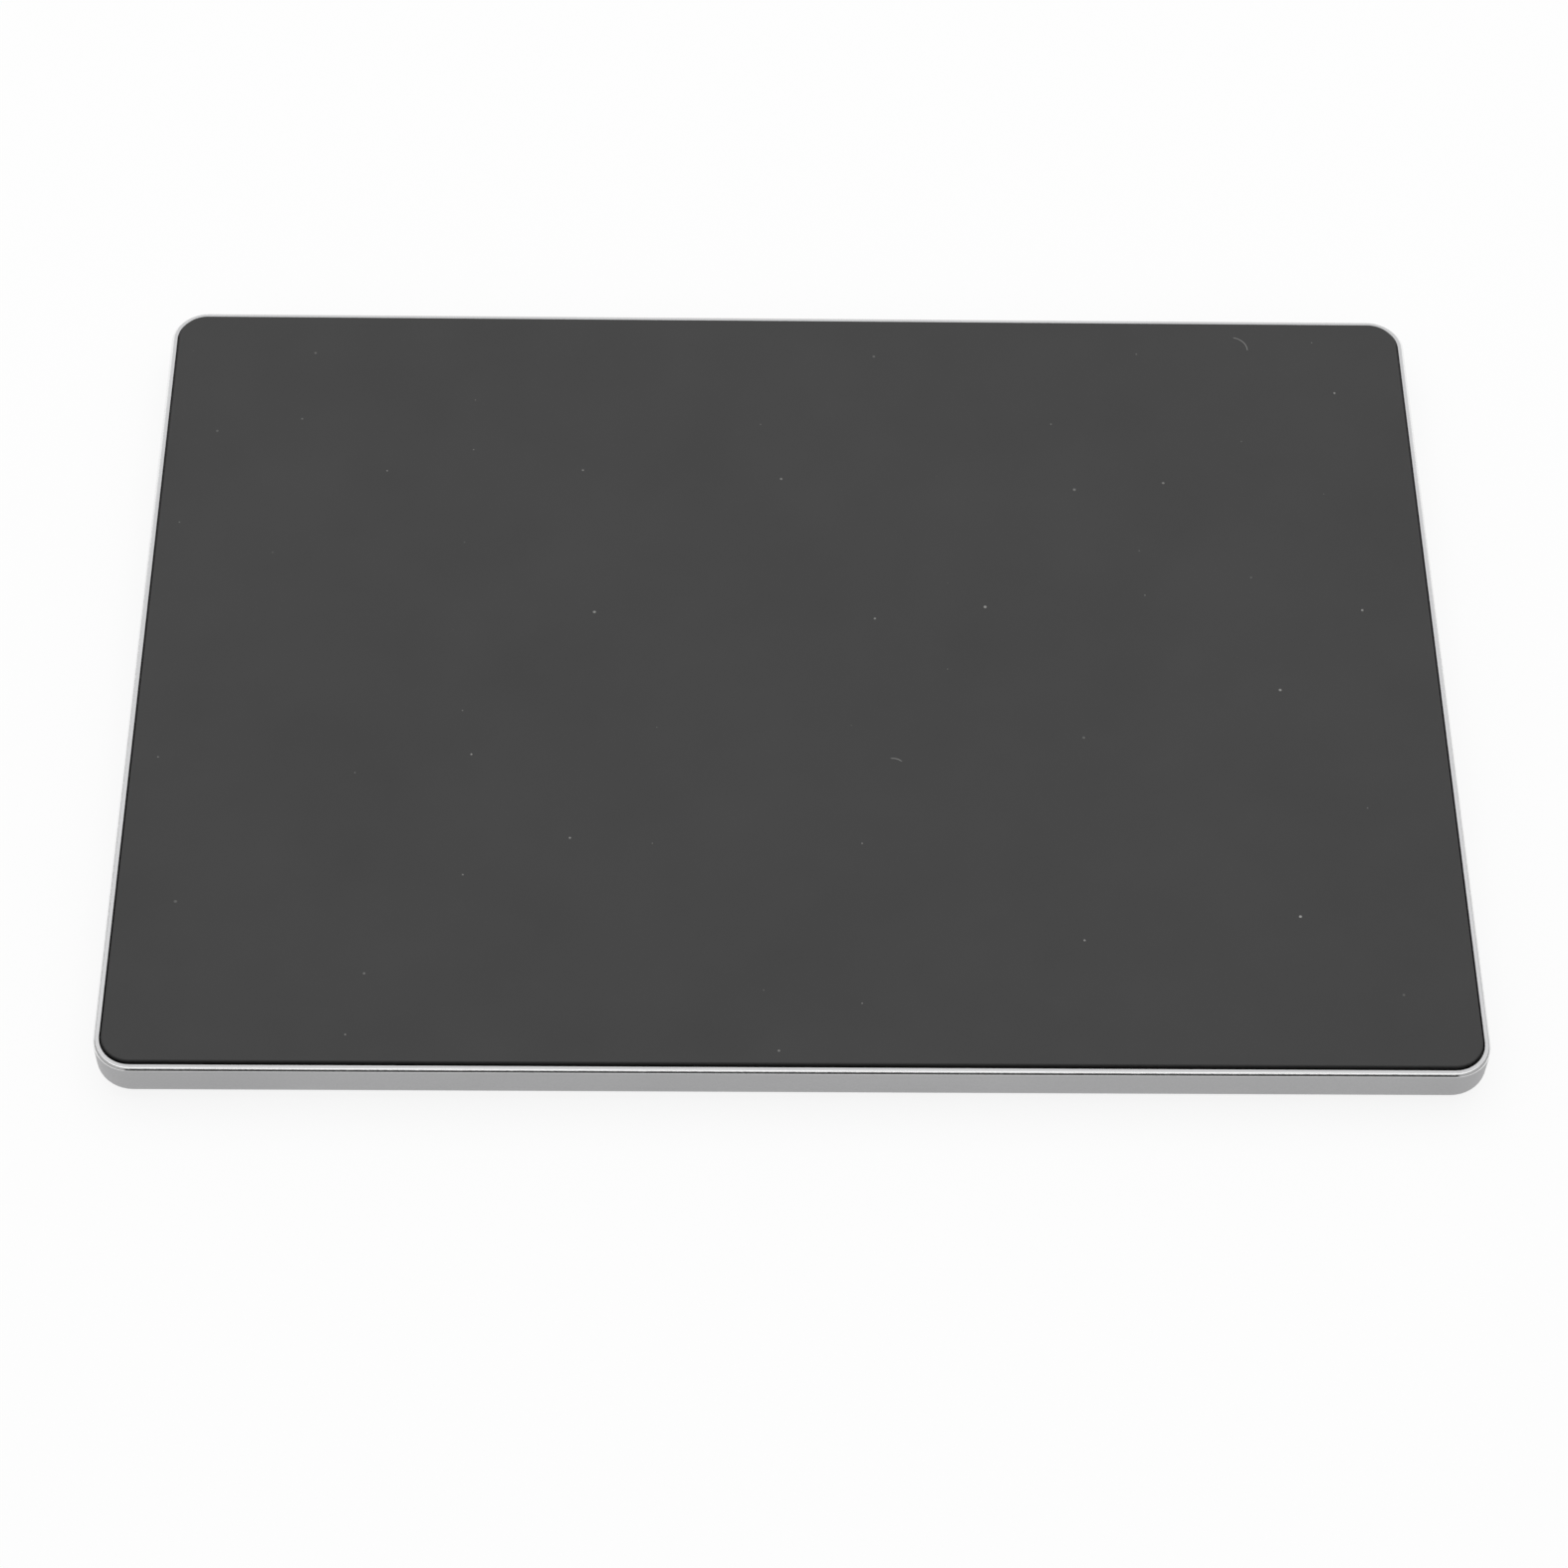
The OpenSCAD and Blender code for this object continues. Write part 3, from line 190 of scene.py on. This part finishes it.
def arc_mask(f, flat, centre, radius, toward, spread):
    """1 on a thin arc in the plane, 0 elsewhere."""
    fibre_r = 0.055
    shade_of_fibre = 0.55
    arm = f.add("ShaderNodeVectorMath", flat, (*centre, 0.0), operation="SUBTRACT").outputs[0]
    reach = f.add("ShaderNodeVectorMath", arm, operation="LENGTH").outputs["Value"]
    near = f.math("LESS_THAN", f.math("ABSOLUTE", f.math("SUBTRACT", reach, radius)), fibre_r)
    way = (math.cos(math.radians(toward)), math.sin(math.radians(toward)), 0.0)
    along = f.add("ShaderNodeVectorMath", arm, way, operation="DOT_PRODUCT").outputs["Value"]
    ahead = f.math("GREATER_THAN", along, radius * math.cos(math.radians(spread)))
    return f.math("MULTIPLY", f.math("MULTIPLY", near, ahead), shade_of_fibre)


def metal(name, color, rough, grain=4.0, depth=0.003, streak=(1, 1, 1)):
    """Metal with a fine grain, which streak draws out along an axis into brush marks."""
    spread = 0.12
    f = Finish(name, metallic=1.0)
    place = f.stretched(*streak)
    fine = f.noise(grain, 4.0, 0.6, place)
    cloud = f.noise(0.05, 2.0)
    tone = f.mix(f.span(cloud, 0.3, 0.7), shade(color, 0.96), shade(color, 1.04))
    f.set("Base Color", f.mix(f.span(fine, 0.3, 0.7, 0.0, 0.3), tone, shade(color, 0.88)))
    f.set("Roughness", f.span(fine, 0.25, 0.75, max(0.05, rough - spread / 2), rough + spread / 2))
    f.set("Normal", f.bump(fine, depth, 0.5))
    return f.material


def plastic(name, color, rough, grain, depth=0.006):
    """Moulded plastic with a spark-eroded grain, painted shade in its pits, and slight flow marks."""
    f = Finish(name, specular_ior_level=0.45)
    pits = f.cells(grain).outputs["Distance"]
    fine = f.noise(grain * 2.2, 3.0)
    flow = f.noise(0.06, 2.0, place=f.stretched(1.0, 2.5, 1.0))
    tone = f.mix(f.span(flow, 0.3, 0.7), shade(color, 0.93), shade(color, 1.07))
    # The middles of the pits are darkened: painted shade in the recesses that the bump makes.
    f.set("Base Color", f.mix(f.span(pits, 0.1, 0.8, 0.25, 0.0), tone, shade(color, 0.7)))
    f.set("Roughness", f.span(fine, 0.3, 0.7, rough - 0.05, rough + 0.06))
    f.set("Normal", f.bump(fine, depth / 2, 0.5, f.bump(pits, depth, 0.6)))
    return f.material


def rubber(name, color):
    """Moulded rubber: dull, with a dusty bloom in patches."""
    f = Finish(name, specular_ior_level=0.3)
    bloom = f.span(f.noise(0.35, 4.0), 0.45, 0.75)
    f.set("Base Color", f.mix(bloom, color, shade(color, 1.9)))
    f.set("Roughness", f.span(bloom, 0.0, 1.0, 0.68, 0.85))
    f.set("Normal", f.bump(f.noise(7.0, 4.0), 0.012, 0.6))
    return f.material


def board(name, color):
    """Solder mask over copper: raised traces that step sideways, and scattered vias."""
    pitch = 1.1
    bands_per_scale = 3.2
    sway_mm, sway_step = 24.0, 3.0
    vias_per_mm, via_r = 0.42, 0.11
    covered_copper = (0.05, 0.17, 0.06)
    gold = (0.55, 0.42, 0.2)
    f = Finish(name, specular_ior_level=0.5, coat_weight=0.3)
    bend = f.noise(0.09, 1.0)
    sway = f.add("ShaderNodeVectorMath", f.place, operation="ADD")
    shift = f.add("ShaderNodeCombineXYZ", f.math("SNAP", f.math("MULTIPLY", bend, sway_mm), sway_step))
    f.feed(sway.inputs[1], shift.outputs[0])
    lines = f.add("ShaderNodeTexWave", sway.outputs[0], wave_type="BANDS", bands_direction="X")
    lines.inputs["Scale"].default_value = 1 / pitch / bands_per_scale
    trace = f.span(lines.outputs["Fac"], 0.62, 0.7)
    dots = f.cells(vias_per_mm)
    via = f.math("LESS_THAN", dots.outputs["Distance"], via_r)
    tone = f.mix(trace, color, covered_copper)
    tone = f.mix(f.math("MULTIPLY", via, 0.8), tone, gold)
    f.set("Base Color", tone)
    f.set("Roughness", f.span(f.noise(2.0), 0.3, 0.7, 0.30, 0.42))
    f.set("Normal", f.bump(f.math("MAXIMUM", trace, via), 0.03, 0.7))
    return f.material


def flat_cable(name, color):
    """Polyimide with copper lines under it."""
    line_scale = 0.55
    copper = (0.62, 0.30, 0.07)
    f = Finish(name, specular_ior_level=0.5)
    lines = f.add("ShaderNodeTexWave", f.place, wave_type="BANDS", bands_direction="X")
    lines.inputs["Scale"].default_value = line_scale
    line = f.span(lines.outputs["Fac"], 0.45, 0.6)
    f.set("Base Color", f.mix(line, color, copper))
    f.set("Roughness", f.span(f.noise(1.5), 0.3, 0.7, 0.25, 0.36))
    f.set("Normal", f.bump(line, 0.01, 0.6))
    return f.material


def foil(name, color):
    """Pouch foil: soft dents and fine creases, with painted shade in the dents and painted light on their
    crowns.
    """
    f = Finish(name, metallic=0.9)
    dents = f.noise(0.12, 3.0)
    creases = f.cells(0.3, "DISTANCE_TO_EDGE").outputs["Distance"]
    # Darker in the dents and lighter on their crowns: painted shade and painted light that follow the dent
    # bump.
    f.set("Base Color", f.mix(f.span(dents, 0.3, 0.7), shade(color, 0.88), shade(color, 1.08)))
    f.set("Roughness", f.span(f.noise(3.0), 0.3, 0.7, 0.34, 0.48))
    f.set("Normal", f.bump(f.span(creases, 0.0, 0.08), 0.01, 0.35, f.bump(dents, 0.12, 0.5)))
    return f.material


def film(name, color, rough):
    """Thin film or adhesive sheet: small bubbles and a faint cloud."""
    f = Finish(name, specular_ior_level=0.35)
    bubbles = f.cells(0.9).outputs["Distance"]
    cloud = f.noise(0.15, 3.0)
    f.set("Base Color", f.mix(f.span(cloud, 0.3, 0.7), shade(color, 0.9), shade(color, 1.06)))
    f.set("Roughness", f.span(cloud, 0.3, 0.7, rough - 0.06, rough + 0.06))
    f.set("Normal", f.bump(f.span(bubbles, 0.0, 0.25), 0.01, 0.3))
    return f.material


def ceramic(name, color):
    """Fired chip body with a speckle."""
    f = Finish(name, specular_ior_level=0.5)
    speckle = f.noise(6.0, 4.0)
    f.set("Base Color", f.mix(f.span(speckle, 0.35, 0.65), shade(color, 0.82), shade(color, 1.12)))
    f.set("Roughness", f.span(speckle, 0.3, 0.7, 0.38, 0.5))
    f.set("Normal", f.bump(speckle, 0.006, 0.5))
    return f.material


def clear(name, color):
    """Clear moulding with a faint haze inside."""
    f = Finish(name, transmission_weight=0.85, ior=1.58)
    haze = f.noise(1.2, 3.0)
    f.set("Base Color", f.mix(f.span(haze, 0.3, 0.7), color, shade(color, 0.95)))
    f.set("Roughness", f.span(haze, 0.3, 0.7, 0.06, 0.16))
    f.set("Normal", f.bump(haze, 0.004, 0.3))
    return f.material


def polished_edge():
    """Diamond-cut chamfer: bright metal with fine turning marks."""
    f = Finish("polished_chamfer", metallic=1.0)
    marks = f.noise(2.2, 5.0, 0.7)
    dings = f.noise(0.5, 3.0, 0.6)
    f.set("Base Color", f.mix(f.span(marks, 0.3, 0.7), (0.84, 0.84, 0.845), (0.92, 0.92, 0.92)))
    f.set("Roughness", f.span(marks, 0.3, 0.7, 0.10, 0.20))
    f.set("Normal", f.bump(marks, 0.004, 0.5, f.bump(dings, 0.035, 0.6)))
    return f.material


def glass_edge():
    """Edge of the glass, inked black."""
    f = Finish("glass_edge_ink", specular_ior_level=0.25)
    ink = f.noise(3.0, 3.0)
    f.set("Base Color", f.mix(f.span(ink, 0.3, 0.7), (0.020, 0.020, 0.020), (0.028, 0.028, 0.028)))
    f.set("Roughness", f.span(ink, 0.3, 0.7, 0.38, 0.50))
    f.set("Normal", f.bump(ink, 0.003, 0.4))
    return f.material


ALUMINIUM = (0.405, 0.405, 0.41)
finishes = {
    "silver_aluminium": metal("silver_aluminium", ALUMINIUM, 0.44, grain=7.0, depth=0.006),
    "dark_glass": etched_glass(),
    # black_film lines the gap round the plate. Its near-black colour is painted shade: a dark sheet placed
    # where the gap already lies in shadow.
    "black_film": film("black_film", (0.008, 0.008, 0.008), 0.6),
    "cover_plastic": plastic("cover_plastic", (0.045, 0.045, 0.047), 0.58, grain=4.0, depth=0.012),
    "window_plastic": plastic("window_plastic", (0.022, 0.022, 0.024), 0.42, grain=6.0),
    "foot_rubber": rubber("foot_rubber", (0.014, 0.014, 0.015)),
    "screw_steel": metal("screw_steel", (0.30, 0.30, 0.31), 0.30, grain=6.0),
    "plain_steel": metal("plain_steel", (0.50, 0.51, 0.52), 0.34, streak=(0.08, 1, 1)),
    "pin_steel": metal("pin_steel", (0.60, 0.61, 0.63), 0.18, grain=9.0, streak=(3, 0.3, 0.3)),
    "bearing_metal": metal("bearing_metal", (0.35, 0.36, 0.37), 0.46, grain=2.5, depth=0.02),
    "spring_steel": metal("spring_steel", (0.55, 0.55, 0.54), 0.24, streak=(1, 0.1, 1)),
    "tinned_steel": metal("tinned_steel", (0.65, 0.66, 0.67), 0.26, streak=(0.15, 1, 1)),
    "gold_plate": metal("gold_plate", (0.85, 0.60, 0.20), 0.22, grain=8.0),
    "circuit_board": board("circuit_board", (0.012, 0.075, 0.025)),
    "chip_black": plastic("chip_black", (0.020, 0.020, 0.022), 0.55, grain=9.0),
    "chip_tan": ceramic("chip_tan", (0.45, 0.38, 0.28)),
    "adhesive": film("adhesive", (0.70, 0.68, 0.58), 0.45),
    "flex_amber": flat_cable("flex_amber", (0.45, 0.20, 0.03)),
    "connector_ivory": plastic("connector_ivory", (0.75, 0.72, 0.62), 0.48, grain=7.0),
    "cell_foil": foil("cell_foil", (0.50, 0.51, 0.53)),
    "lead_red": plastic("lead_red", (0.50, 0.02, 0.015), 0.40, grain=8.0),
    "lead_black": plastic("lead_black", (0.015, 0.015, 0.016), 0.40, grain=8.0),
    "silicone_black": rubber("silicone_black", (0.020, 0.020, 0.021)),
    "slider_plastic": plastic("slider_plastic", (0.55, 0.55, 0.56), 0.42, grain=8.0),
    "button_plastic": plastic("button_plastic", (0.060, 0.060, 0.062), 0.42, grain=8.0),
    "clear_plastic": clear("clear_plastic", (0.85, 0.90, 0.92)),
    "led_resin": ceramic("led_resin", (0.85, 0.80, 0.55)),
}
CHAMFER = polished_edge()
INK = glass_edge()


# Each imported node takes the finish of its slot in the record

slot_of = {part["node"]: part["material_slot"] for part in frame["record"]["subparts"]}
for name, thing in nodes.items():
    thing.data.materials.clear()
    thing.data.materials.append(finishes[slot_of[name]])


# Mesh helpers

def mesh_of(bm, name, *materials):
    """A mesh of a bmesh, which is used up."""
    mesh = bpy.data.meshes.new(name)
    bm.to_mesh(mesh)
    bm.free()
    for material in materials:
        mesh.materials.append(material)
    return mesh


def placed(name, data):
    """A new object in the scene."""
    thing = bpy.data.objects.new(name, data)
    bpy.context.scene.collection.objects.link(thing)
    return thing


def piece_from(bm, name, node, body, *materials):
    """Makes an object of a bmesh that stands for a node and rides on its body."""
    for face in bm.faces:
        face.smooth = True
    thing = placed(name, mesh_of(bm, name, finishes[slot_of[node]], *materials))
    normals = thing.modifiers.new("even_normals", "WEIGHTED_NORMAL")
    normals.keep_sharp = True
    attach(thing, body)
    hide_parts(node)
    return thing


def welded(node):
    """A node's mesh with its vertices joined and its flat faces whole."""
    bm = bmesh.new()
    bm.from_mesh(nodes[node].data)
    bmesh.ops.remove_doubles(bm, verts=bm.verts, dist=WELD)
    bmesh.ops.dissolve_limit(bm, angle_limit=FLAT, verts=bm.verts, edges=bm.edges)
    return bm


def sharp_edges(bm, wanted=lambda edge: True):
    return [e for e in bm.edges if e.is_manifold and e.calc_face_angle(0) > SHARP and wanted(e)]


def lowest(edge):
    return min(v.co.z for v in edge.verts)


def round_edges(bm, edges, width_mm, segments):
    bmesh.ops.bevel(
        bm, geom=edges, offset=width_mm * MM, segments=segments, profile=0.5,
        affect="EDGES", clamp_overlap=False,
    )


def refined(node, name, body, width_mm, segments):
    """A node with its sharp edges rounded to that width."""
    bm = welded(node)
    round_edges(bm, sharp_edges(bm), width_mm, segments)
    return piece_from(bm, name, node, body)


def outward(point, half_w, half_d, corner_r):
    """Direction out of a rounded rectangle at a point, in plan."""
    core = Vector((
        max(-half_w + corner_r, min(half_w - corner_r, point.x)),
        max(-half_d + corner_r, min(half_d - corner_r, point.y)),
    ))
    away = Vector((point.x, point.y)) - core
    return away.normalized() if away.length > 0 else Vector((0.0, 0.0))


def quarter_turn():
    """Angles of a rounded edge, from 0 to 90 degrees."""
    return [math.radians(90 * k / EDGE_STEPS) for k in range(EDGE_STEPS + 1)]


def rounded_outline(half_w, half_d, corner_r, steps):
    """Points of a rounded rectangle, counter-clockwise."""
    points = []
    for quarter, (sx, sy) in enumerate(((1, 1), (-1, 1), (-1, -1), (1, -1))):
        middle = Vector((sx * (half_w - corner_r), sy * (half_d - corner_r)))
        for step in range(steps + 1):
            angle = math.radians(90 * quarter + 90 * step / steps)
            points.append(middle + corner_r * Vector((math.cos(angle), math.sin(angle))))
    return points


def stacked(middle, half_w, half_d, corner_r, levels, steps=20):
    """A closed slab of rounded-rectangle rings; levels are (inset, height) from the bottom up."""
    bm = bmesh.new()
    rings = []
    for inset, height in levels:
        outline = rounded_outline(half_w - inset, half_d - inset, corner_r - inset, steps)
        rings.append([bm.verts.new((middle[0] + p.x, middle[1] + p.y, height)) for p in outline])
    for low, high in zip(rings, rings[1:]):
        for i in range(len(low)):
            j = (i + 1) % len(low)
            bm.faces.new((low[i], low[j], high[j], high[i]))
    bm.faces.new(list(reversed(rings[0])))
    bm.faces.new(rings[-1])
    return bm


# Touch plate

def touch_glass():
    """The glass with rounded edges, inked black wherever it doesn't face up."""
    corner_r = 3.5 * MM
    upper_r = 0.16 * MM
    lower_r = upper_r / 2
    faces_up = 0.6
    low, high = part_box("glass_plate")
    arc = quarter_turn()
    lower = [(lower_r * (1 - math.sin(a)), low.z + lower_r * (1 - math.cos(a))) for a in arc]
    upper = [(upper_r * (1 - math.cos(a)), high.z - upper_r * (1 - math.sin(a))) for a in arc]
    bm = stacked((0, 0), high.x, high.y, corner_r, lower + upper)
    for face in bm.faces:
        face.normal_update()
        face.material_index = 1 if face.normal.z < faces_up else 0
    piece_from(bm, "touch_glass", "glass_plate", "touch_plate", INK)


# Case, in millimetres, with the source's chamfer and corner

CHAMFER_H = 0.3
CHAMFER_CROWN = 0.02
CHAMFER_STRIPS = 6
RIM_ROUND = 0.03
RIM_SEGMENTS = 3
EDGE_ROUND = 0.04
EDGE_SEGMENTS = 2
CASE_CORNER_R = 4.5


def crown_chamfer(bm, high):
    """Swells the flat chamfer a little, as polishing leaves it: most in the middle, nothing at its edges."""
    height = CHAMFER_H * MM
    at_edge = 0.01

    def crosses(edge):
        span = sorted(v.co.z for v in edge.verts)
        return abs(span[1] - high.z) < WELD and abs(span[0] - (high.z - height)) < WELD

    bmesh.ops.subdivide_edges(
        bm, edges=[e for e in bm.edges if crosses(e)], cuts=CHAMFER_STRIPS - 1, use_grid_fill=True,
    )
    for vert in bm.verts:
        share = (high.z - vert.co.z) / height
        if not at_edge < share < 1 - at_edge:
            continue
        way = outward(vert.co, high.x, high.y, CASE_CORNER_R * MM)
        hump = 4 * share * (1 - share)
        normal = Vector((way.x, way.y, 1.0)) * math.sqrt(0.5)
        vert.co += normal * (CHAMFER_CROWN * MM * hump)


def case_shell():
    """The frame with its edges rounded and its chamfer polished."""
    slant = (0.3, 0.95)
    polished = (0.04, 0.98)
    least_outward = 0.02
    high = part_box("case_frame")[1]
    chamfer_z = high.z - CHAMFER_H * MM
    bm = welded("case_frame")
    crown_chamfer(bm, high)
    bm.normal_update()

    def on_rim(edge):
        slanted = any(slant[0] < f.normal.z < slant[1] for f in edge.link_faces)
        return slanted and lowest(edge) > chamfer_z - WELD

    round_edges(bm, sharp_edges(bm, on_rim), RIM_ROUND, RIM_SEGMENTS)
    round_edges(bm, sharp_edges(bm), EDGE_ROUND, EDGE_SEGMENTS)
    for face in bm.faces:
        face.normal_update()
        middle = face.calc_center_median()
        way = outward(middle, high.x, high.y, CASE_CORNER_R * MM)
        faces_out = way.x * face.normal.x + way.y * face.normal.y > least_outward
        near_top = middle.z > chamfer_z - RIM_ROUND * MM
        if near_top and faces_out and polished[0] < face.normal.z < polished[1]:
            face.material_index = 1
    piece_from(bm, "frame_shell", "case_frame", "case", CHAMFER)


def foot_pad(node, name):
    """A rubber foot with a slightly crowned sole and a rounded lower edge."""
    corner_r, corner_steps = 2.5 * MM, 12
    edge_r = 0.35 * MM
    crown = 0.03 * MM
    sole_inset, mid_inset = 1.2 * MM, 0.7 * MM
    top_bevel = 0.05 * MM
    low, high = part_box(node)
    middle = ((low.x + high.x) / 2, (low.y + high.y) / 2)
    half_w, half_d = (high.x - low.x) / 2, (high.y - low.y) / 2
    levels = [(sole_inset, low.z), (mid_inset, low.z + crown / 3)]
    for angle in quarter_turn():
        levels.append((edge_r * (1 - math.sin(angle)), low.z + crown + edge_r * (1 - math.cos(angle))))
    levels += [(0.0, high.z - top_bevel), (top_bevel, high.z)]
    bm = stacked(middle, half_w, half_d, corner_r, levels, corner_steps)
    piece_from(bm, name, node, "case")


# Springs and dome, which the click presses down

def press_down(piece):
    """Gives the piece a mesh of its own, which stays in its rest shape."""
    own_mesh(piece)


def click_springs():
    """The springs meet the plate at their front tips, and the dome meets the plunger at its middle."""
    springs = refined("return_springs", "return_spring_leaves", "case", width_mm=0.03, segments=2)
    press_down(springs)
    dome = refined("click_dome", "snap_dome", "case", width_mm=0.01, segments=2)
    press_down(dome)


touch_glass()
case_shell()
click_springs()
for end in ("front", "rear"):
    for side in ("left", "right"):
        foot_pad(f"foot_{end}_{side}", f"foot_pad_{end}_{side}")

# Nodes that only get rounded edges: node, piece, body, width of the edge in mm, and its segments
for node, name, body, width_mm, segments in (
    ("bottom_cover", "base_cover", "case", 0.06, 3),
    ("rear_window_left", "radio_window_left", "case", 0.05, 3),
    ("rear_window_right", "radio_window_right", "case", 0.05, 3),
    ("port_plate", "charge_port_plate", "case", 0.05, 3),
    ("cover_screws", "cover_screw_set", "case", 0.03, 2),
    ("hinge_screws", "hinge_screw_set", "case", 0.03, 2),
    ("usb_shell", "charge_port_shell", "case", 0.04, 3),
    ("power_slider", "power_slide_knob", "power_slider", 0.05, 3),
    ("pair_button", "pair_push_button", "pair_button", 0.09, 4),
):
    refined(node, name, body, width_mm, segments)


# Camera, solved from the outline of the plate in a square picture

PICTURE = 1575
FOCAL_PX = 3956.4
SENSOR = 36.0
ELEVATION = math.radians(54.66)
TURN = math.radians(1.54)
ROLL = math.radians(-1.59)
DISTANCE = 0.48107
RIM_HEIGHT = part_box("case_frame")[1].z
OFF_AXIS_PX = Vector((7.4, 115.7))


def add_camera():
    """Looks down at the middle of the rim's plane, which lies off the picture's middle by OFF_AXIS_PX."""
    data = bpy.data.cameras.new("camera")
    data.sensor_width = SENSOR
    data.lens = FOCAL_PX / PICTURE * SENSOR
    ahead = Vector((0.0, math.cos(ELEVATION), -math.sin(ELEVATION)))
    up = Vector((0.0, math.sin(ELEVATION), math.cos(ELEVATION)))
    across = Vector((1.0, 0.0, 0.0))
    across, up = (
        across * math.cos(ROLL) - up * math.sin(ROLL),
        across * math.sin(ROLL) + up * math.cos(ROLL),
    )
    offset = OFF_AXIS_PX * DISTANCE / FOCAL_PX
    spot = -(across * offset.x + up * offset.y + ahead * DISTANCE)
    axes = Matrix((across, up, -ahead)).transposed().to_4x4()
    place = Matrix.Translation((0.0, 0.0, RIM_HEIGHT)) @ Matrix.Rotation(-TURN, 4, "Z")
    camera = placed("camera", data)
    camera.matrix_world = place @ Matrix.Translation(spot) @ axes
    bpy.context.scene.camera = camera


# Studio

AMBIENT = 0.72
FLOOR = (0.90, 0.90, 0.90)
FLOOR_GLOW = 0.85
FLOOR_R = 6.0
FLOOR_SIDES = 96
FLOOR_GAP = 0.02 * MM
CARD_REACH = 0.60
CARD_LOW = 0.01
CARD_HIGH = 0.43
CARD_STEPS = 12


def seen_ray(tree):
    """1 for rays from the camera, a mirror or clear plastic, 0 for the light that the scene bounces."""
    path = tree.nodes.new("ShaderNodeLightPath")
    seen = path.outputs["Is Camera Ray"]
    for kind in ("Is Glossy Ray", "Is Transmission Ray"):
        either = tree.nodes.new("ShaderNodeMath")
        either.operation = "MAXIMUM"
        tree.links.new(seen, either.inputs[0])
        tree.links.new(path.outputs[kind], either.inputs[1])
        seen = either.outputs[0]
    return seen


def scaled(tree, socket, factor):
    node = tree.nodes.new("ShaderNodeMath")
    node.operation = "MULTIPLY"
    node.inputs[1].default_value = factor
    tree.links.new(socket, node.inputs[0])
    return node.outputs[0]


def bare_material(name):
    """A material with nothing but its output node, and that node's surface socket."""
    material = bpy.data.materials.new(name)
    material.use_nodes = True
    tree = material.node_tree
    tree.nodes.clear()
    out = tree.nodes.new("ShaderNodeOutputMaterial")
    return material, out.inputs["Surface"]


def add_floor():
    """Pale paper that shows as nearly white and keeps the object's shadow."""
    material, surface = bare_material("floor_paper")
    tree = material.node_tree
    mix = tree.nodes.new("ShaderNodeMixShader")
    paper = tree.nodes.new("ShaderNodeBsdfDiffuse")
    paper.inputs["Color"].default_value = (*FLOOR, 1.0)
    glow = tree.nodes.new("ShaderNodeEmission")
    tree.links.new(scaled(tree, seen_ray(tree), FLOOR_GLOW), mix.inputs["Fac"])
    tree.links.new(paper.outputs[0], mix.inputs[1])
    tree.links.new(glow.outputs[0], mix.inputs[2])
    tree.links.new(mix.outputs[0], surface)
    bm = bmesh.new()
    bmesh.ops.create_circle(bm, cap_ends=True, segments=FLOOR_SIDES, radius=FLOOR_R)
    floor = placed("floor", mesh_of(bm, "floor", material))
    floor.location.z = -FLOOR_GAP


def add_world():
    """A white surround that lights the object a little less than it shows."""
    world = bpy.data.worlds.new("studio")
    world.use_nodes = True
    tree = world.node_tree
    background = next(n for n in tree.nodes if n.type == "BACKGROUND")
    background.inputs["Color"].default_value = (1.0, 1.0, 1.0, 1.0)
    span = tree.nodes.new("ShaderNodeMapRange")
    span.inputs["To Min"].default_value = AMBIENT
    span.inputs["To Max"].default_value = 1.0
    tree.links.new(seen_ray(tree), span.inputs["Value"])
    tree.links.new(span.outputs[0], background.inputs["Strength"])
    bpy.context.scene.world = world


def add_softbox(name, place, target, width, height, radiance):
    """A soft lamp of the same brightness whatever its size."""
    data = bpy.data.lights.new(name, "AREA")
    data.shape = "RECTANGLE"
    data.size = width
    data.size_y = height
    data.energy = radiance * math.pi * width * height
    light = placed(name, data)
    light.location = place
    light.rotation_euler = (Vector(target) - Vector(place)).to_track_quat("-Z", "Y").to_euler()
    light.visible_camera = False


def add_card(name, start, end, grey):
    """A card bent round the object from one bearing to another, which only mirrors show."""
    material, surface = bare_material(name)
    glow = material.node_tree.nodes.new("ShaderNodeEmission")
    glow.inputs["Strength"].default_value = grey
    material.node_tree.links.new(glow.outputs[0], surface)
    bm = bmesh.new()
    columns = []
    for step in range(CARD_STEPS + 1):
        bearing = math.radians(start + (end - start) * step / CARD_STEPS)
        x, y = CARD_REACH * math.sin(bearing), -CARD_REACH * math.cos(bearing)
        columns.append([bm.verts.new((x, y, z)) for z in (CARD_LOW, CARD_HIGH)])
    for one, two in zip(columns, columns[1:]):
        bm.faces.new((one[0], two[0], two[1], one[1]))
    card = placed(name, mesh_of(bm, name, material))
    card.visible_camera = False
    card.visible_diffuse = False
    card.visible_shadow = False


add_camera()
add_floor()
add_world()
add_softbox(
    "overhead", place=(0.0, 0.35, 0.95), target=(0.0, 0.05, 0.0), width=1.3, height=1.1, radiance=1.02,
)
add_card("front_card", start=-24, end=24, grey=0.06)
add_card("left_card", start=-125, end=-24, grey=0.42)
add_card("right_card", start=24, end=125, grey=0.42)
bpy.context.scene.view_settings.view_transform = "Standard"
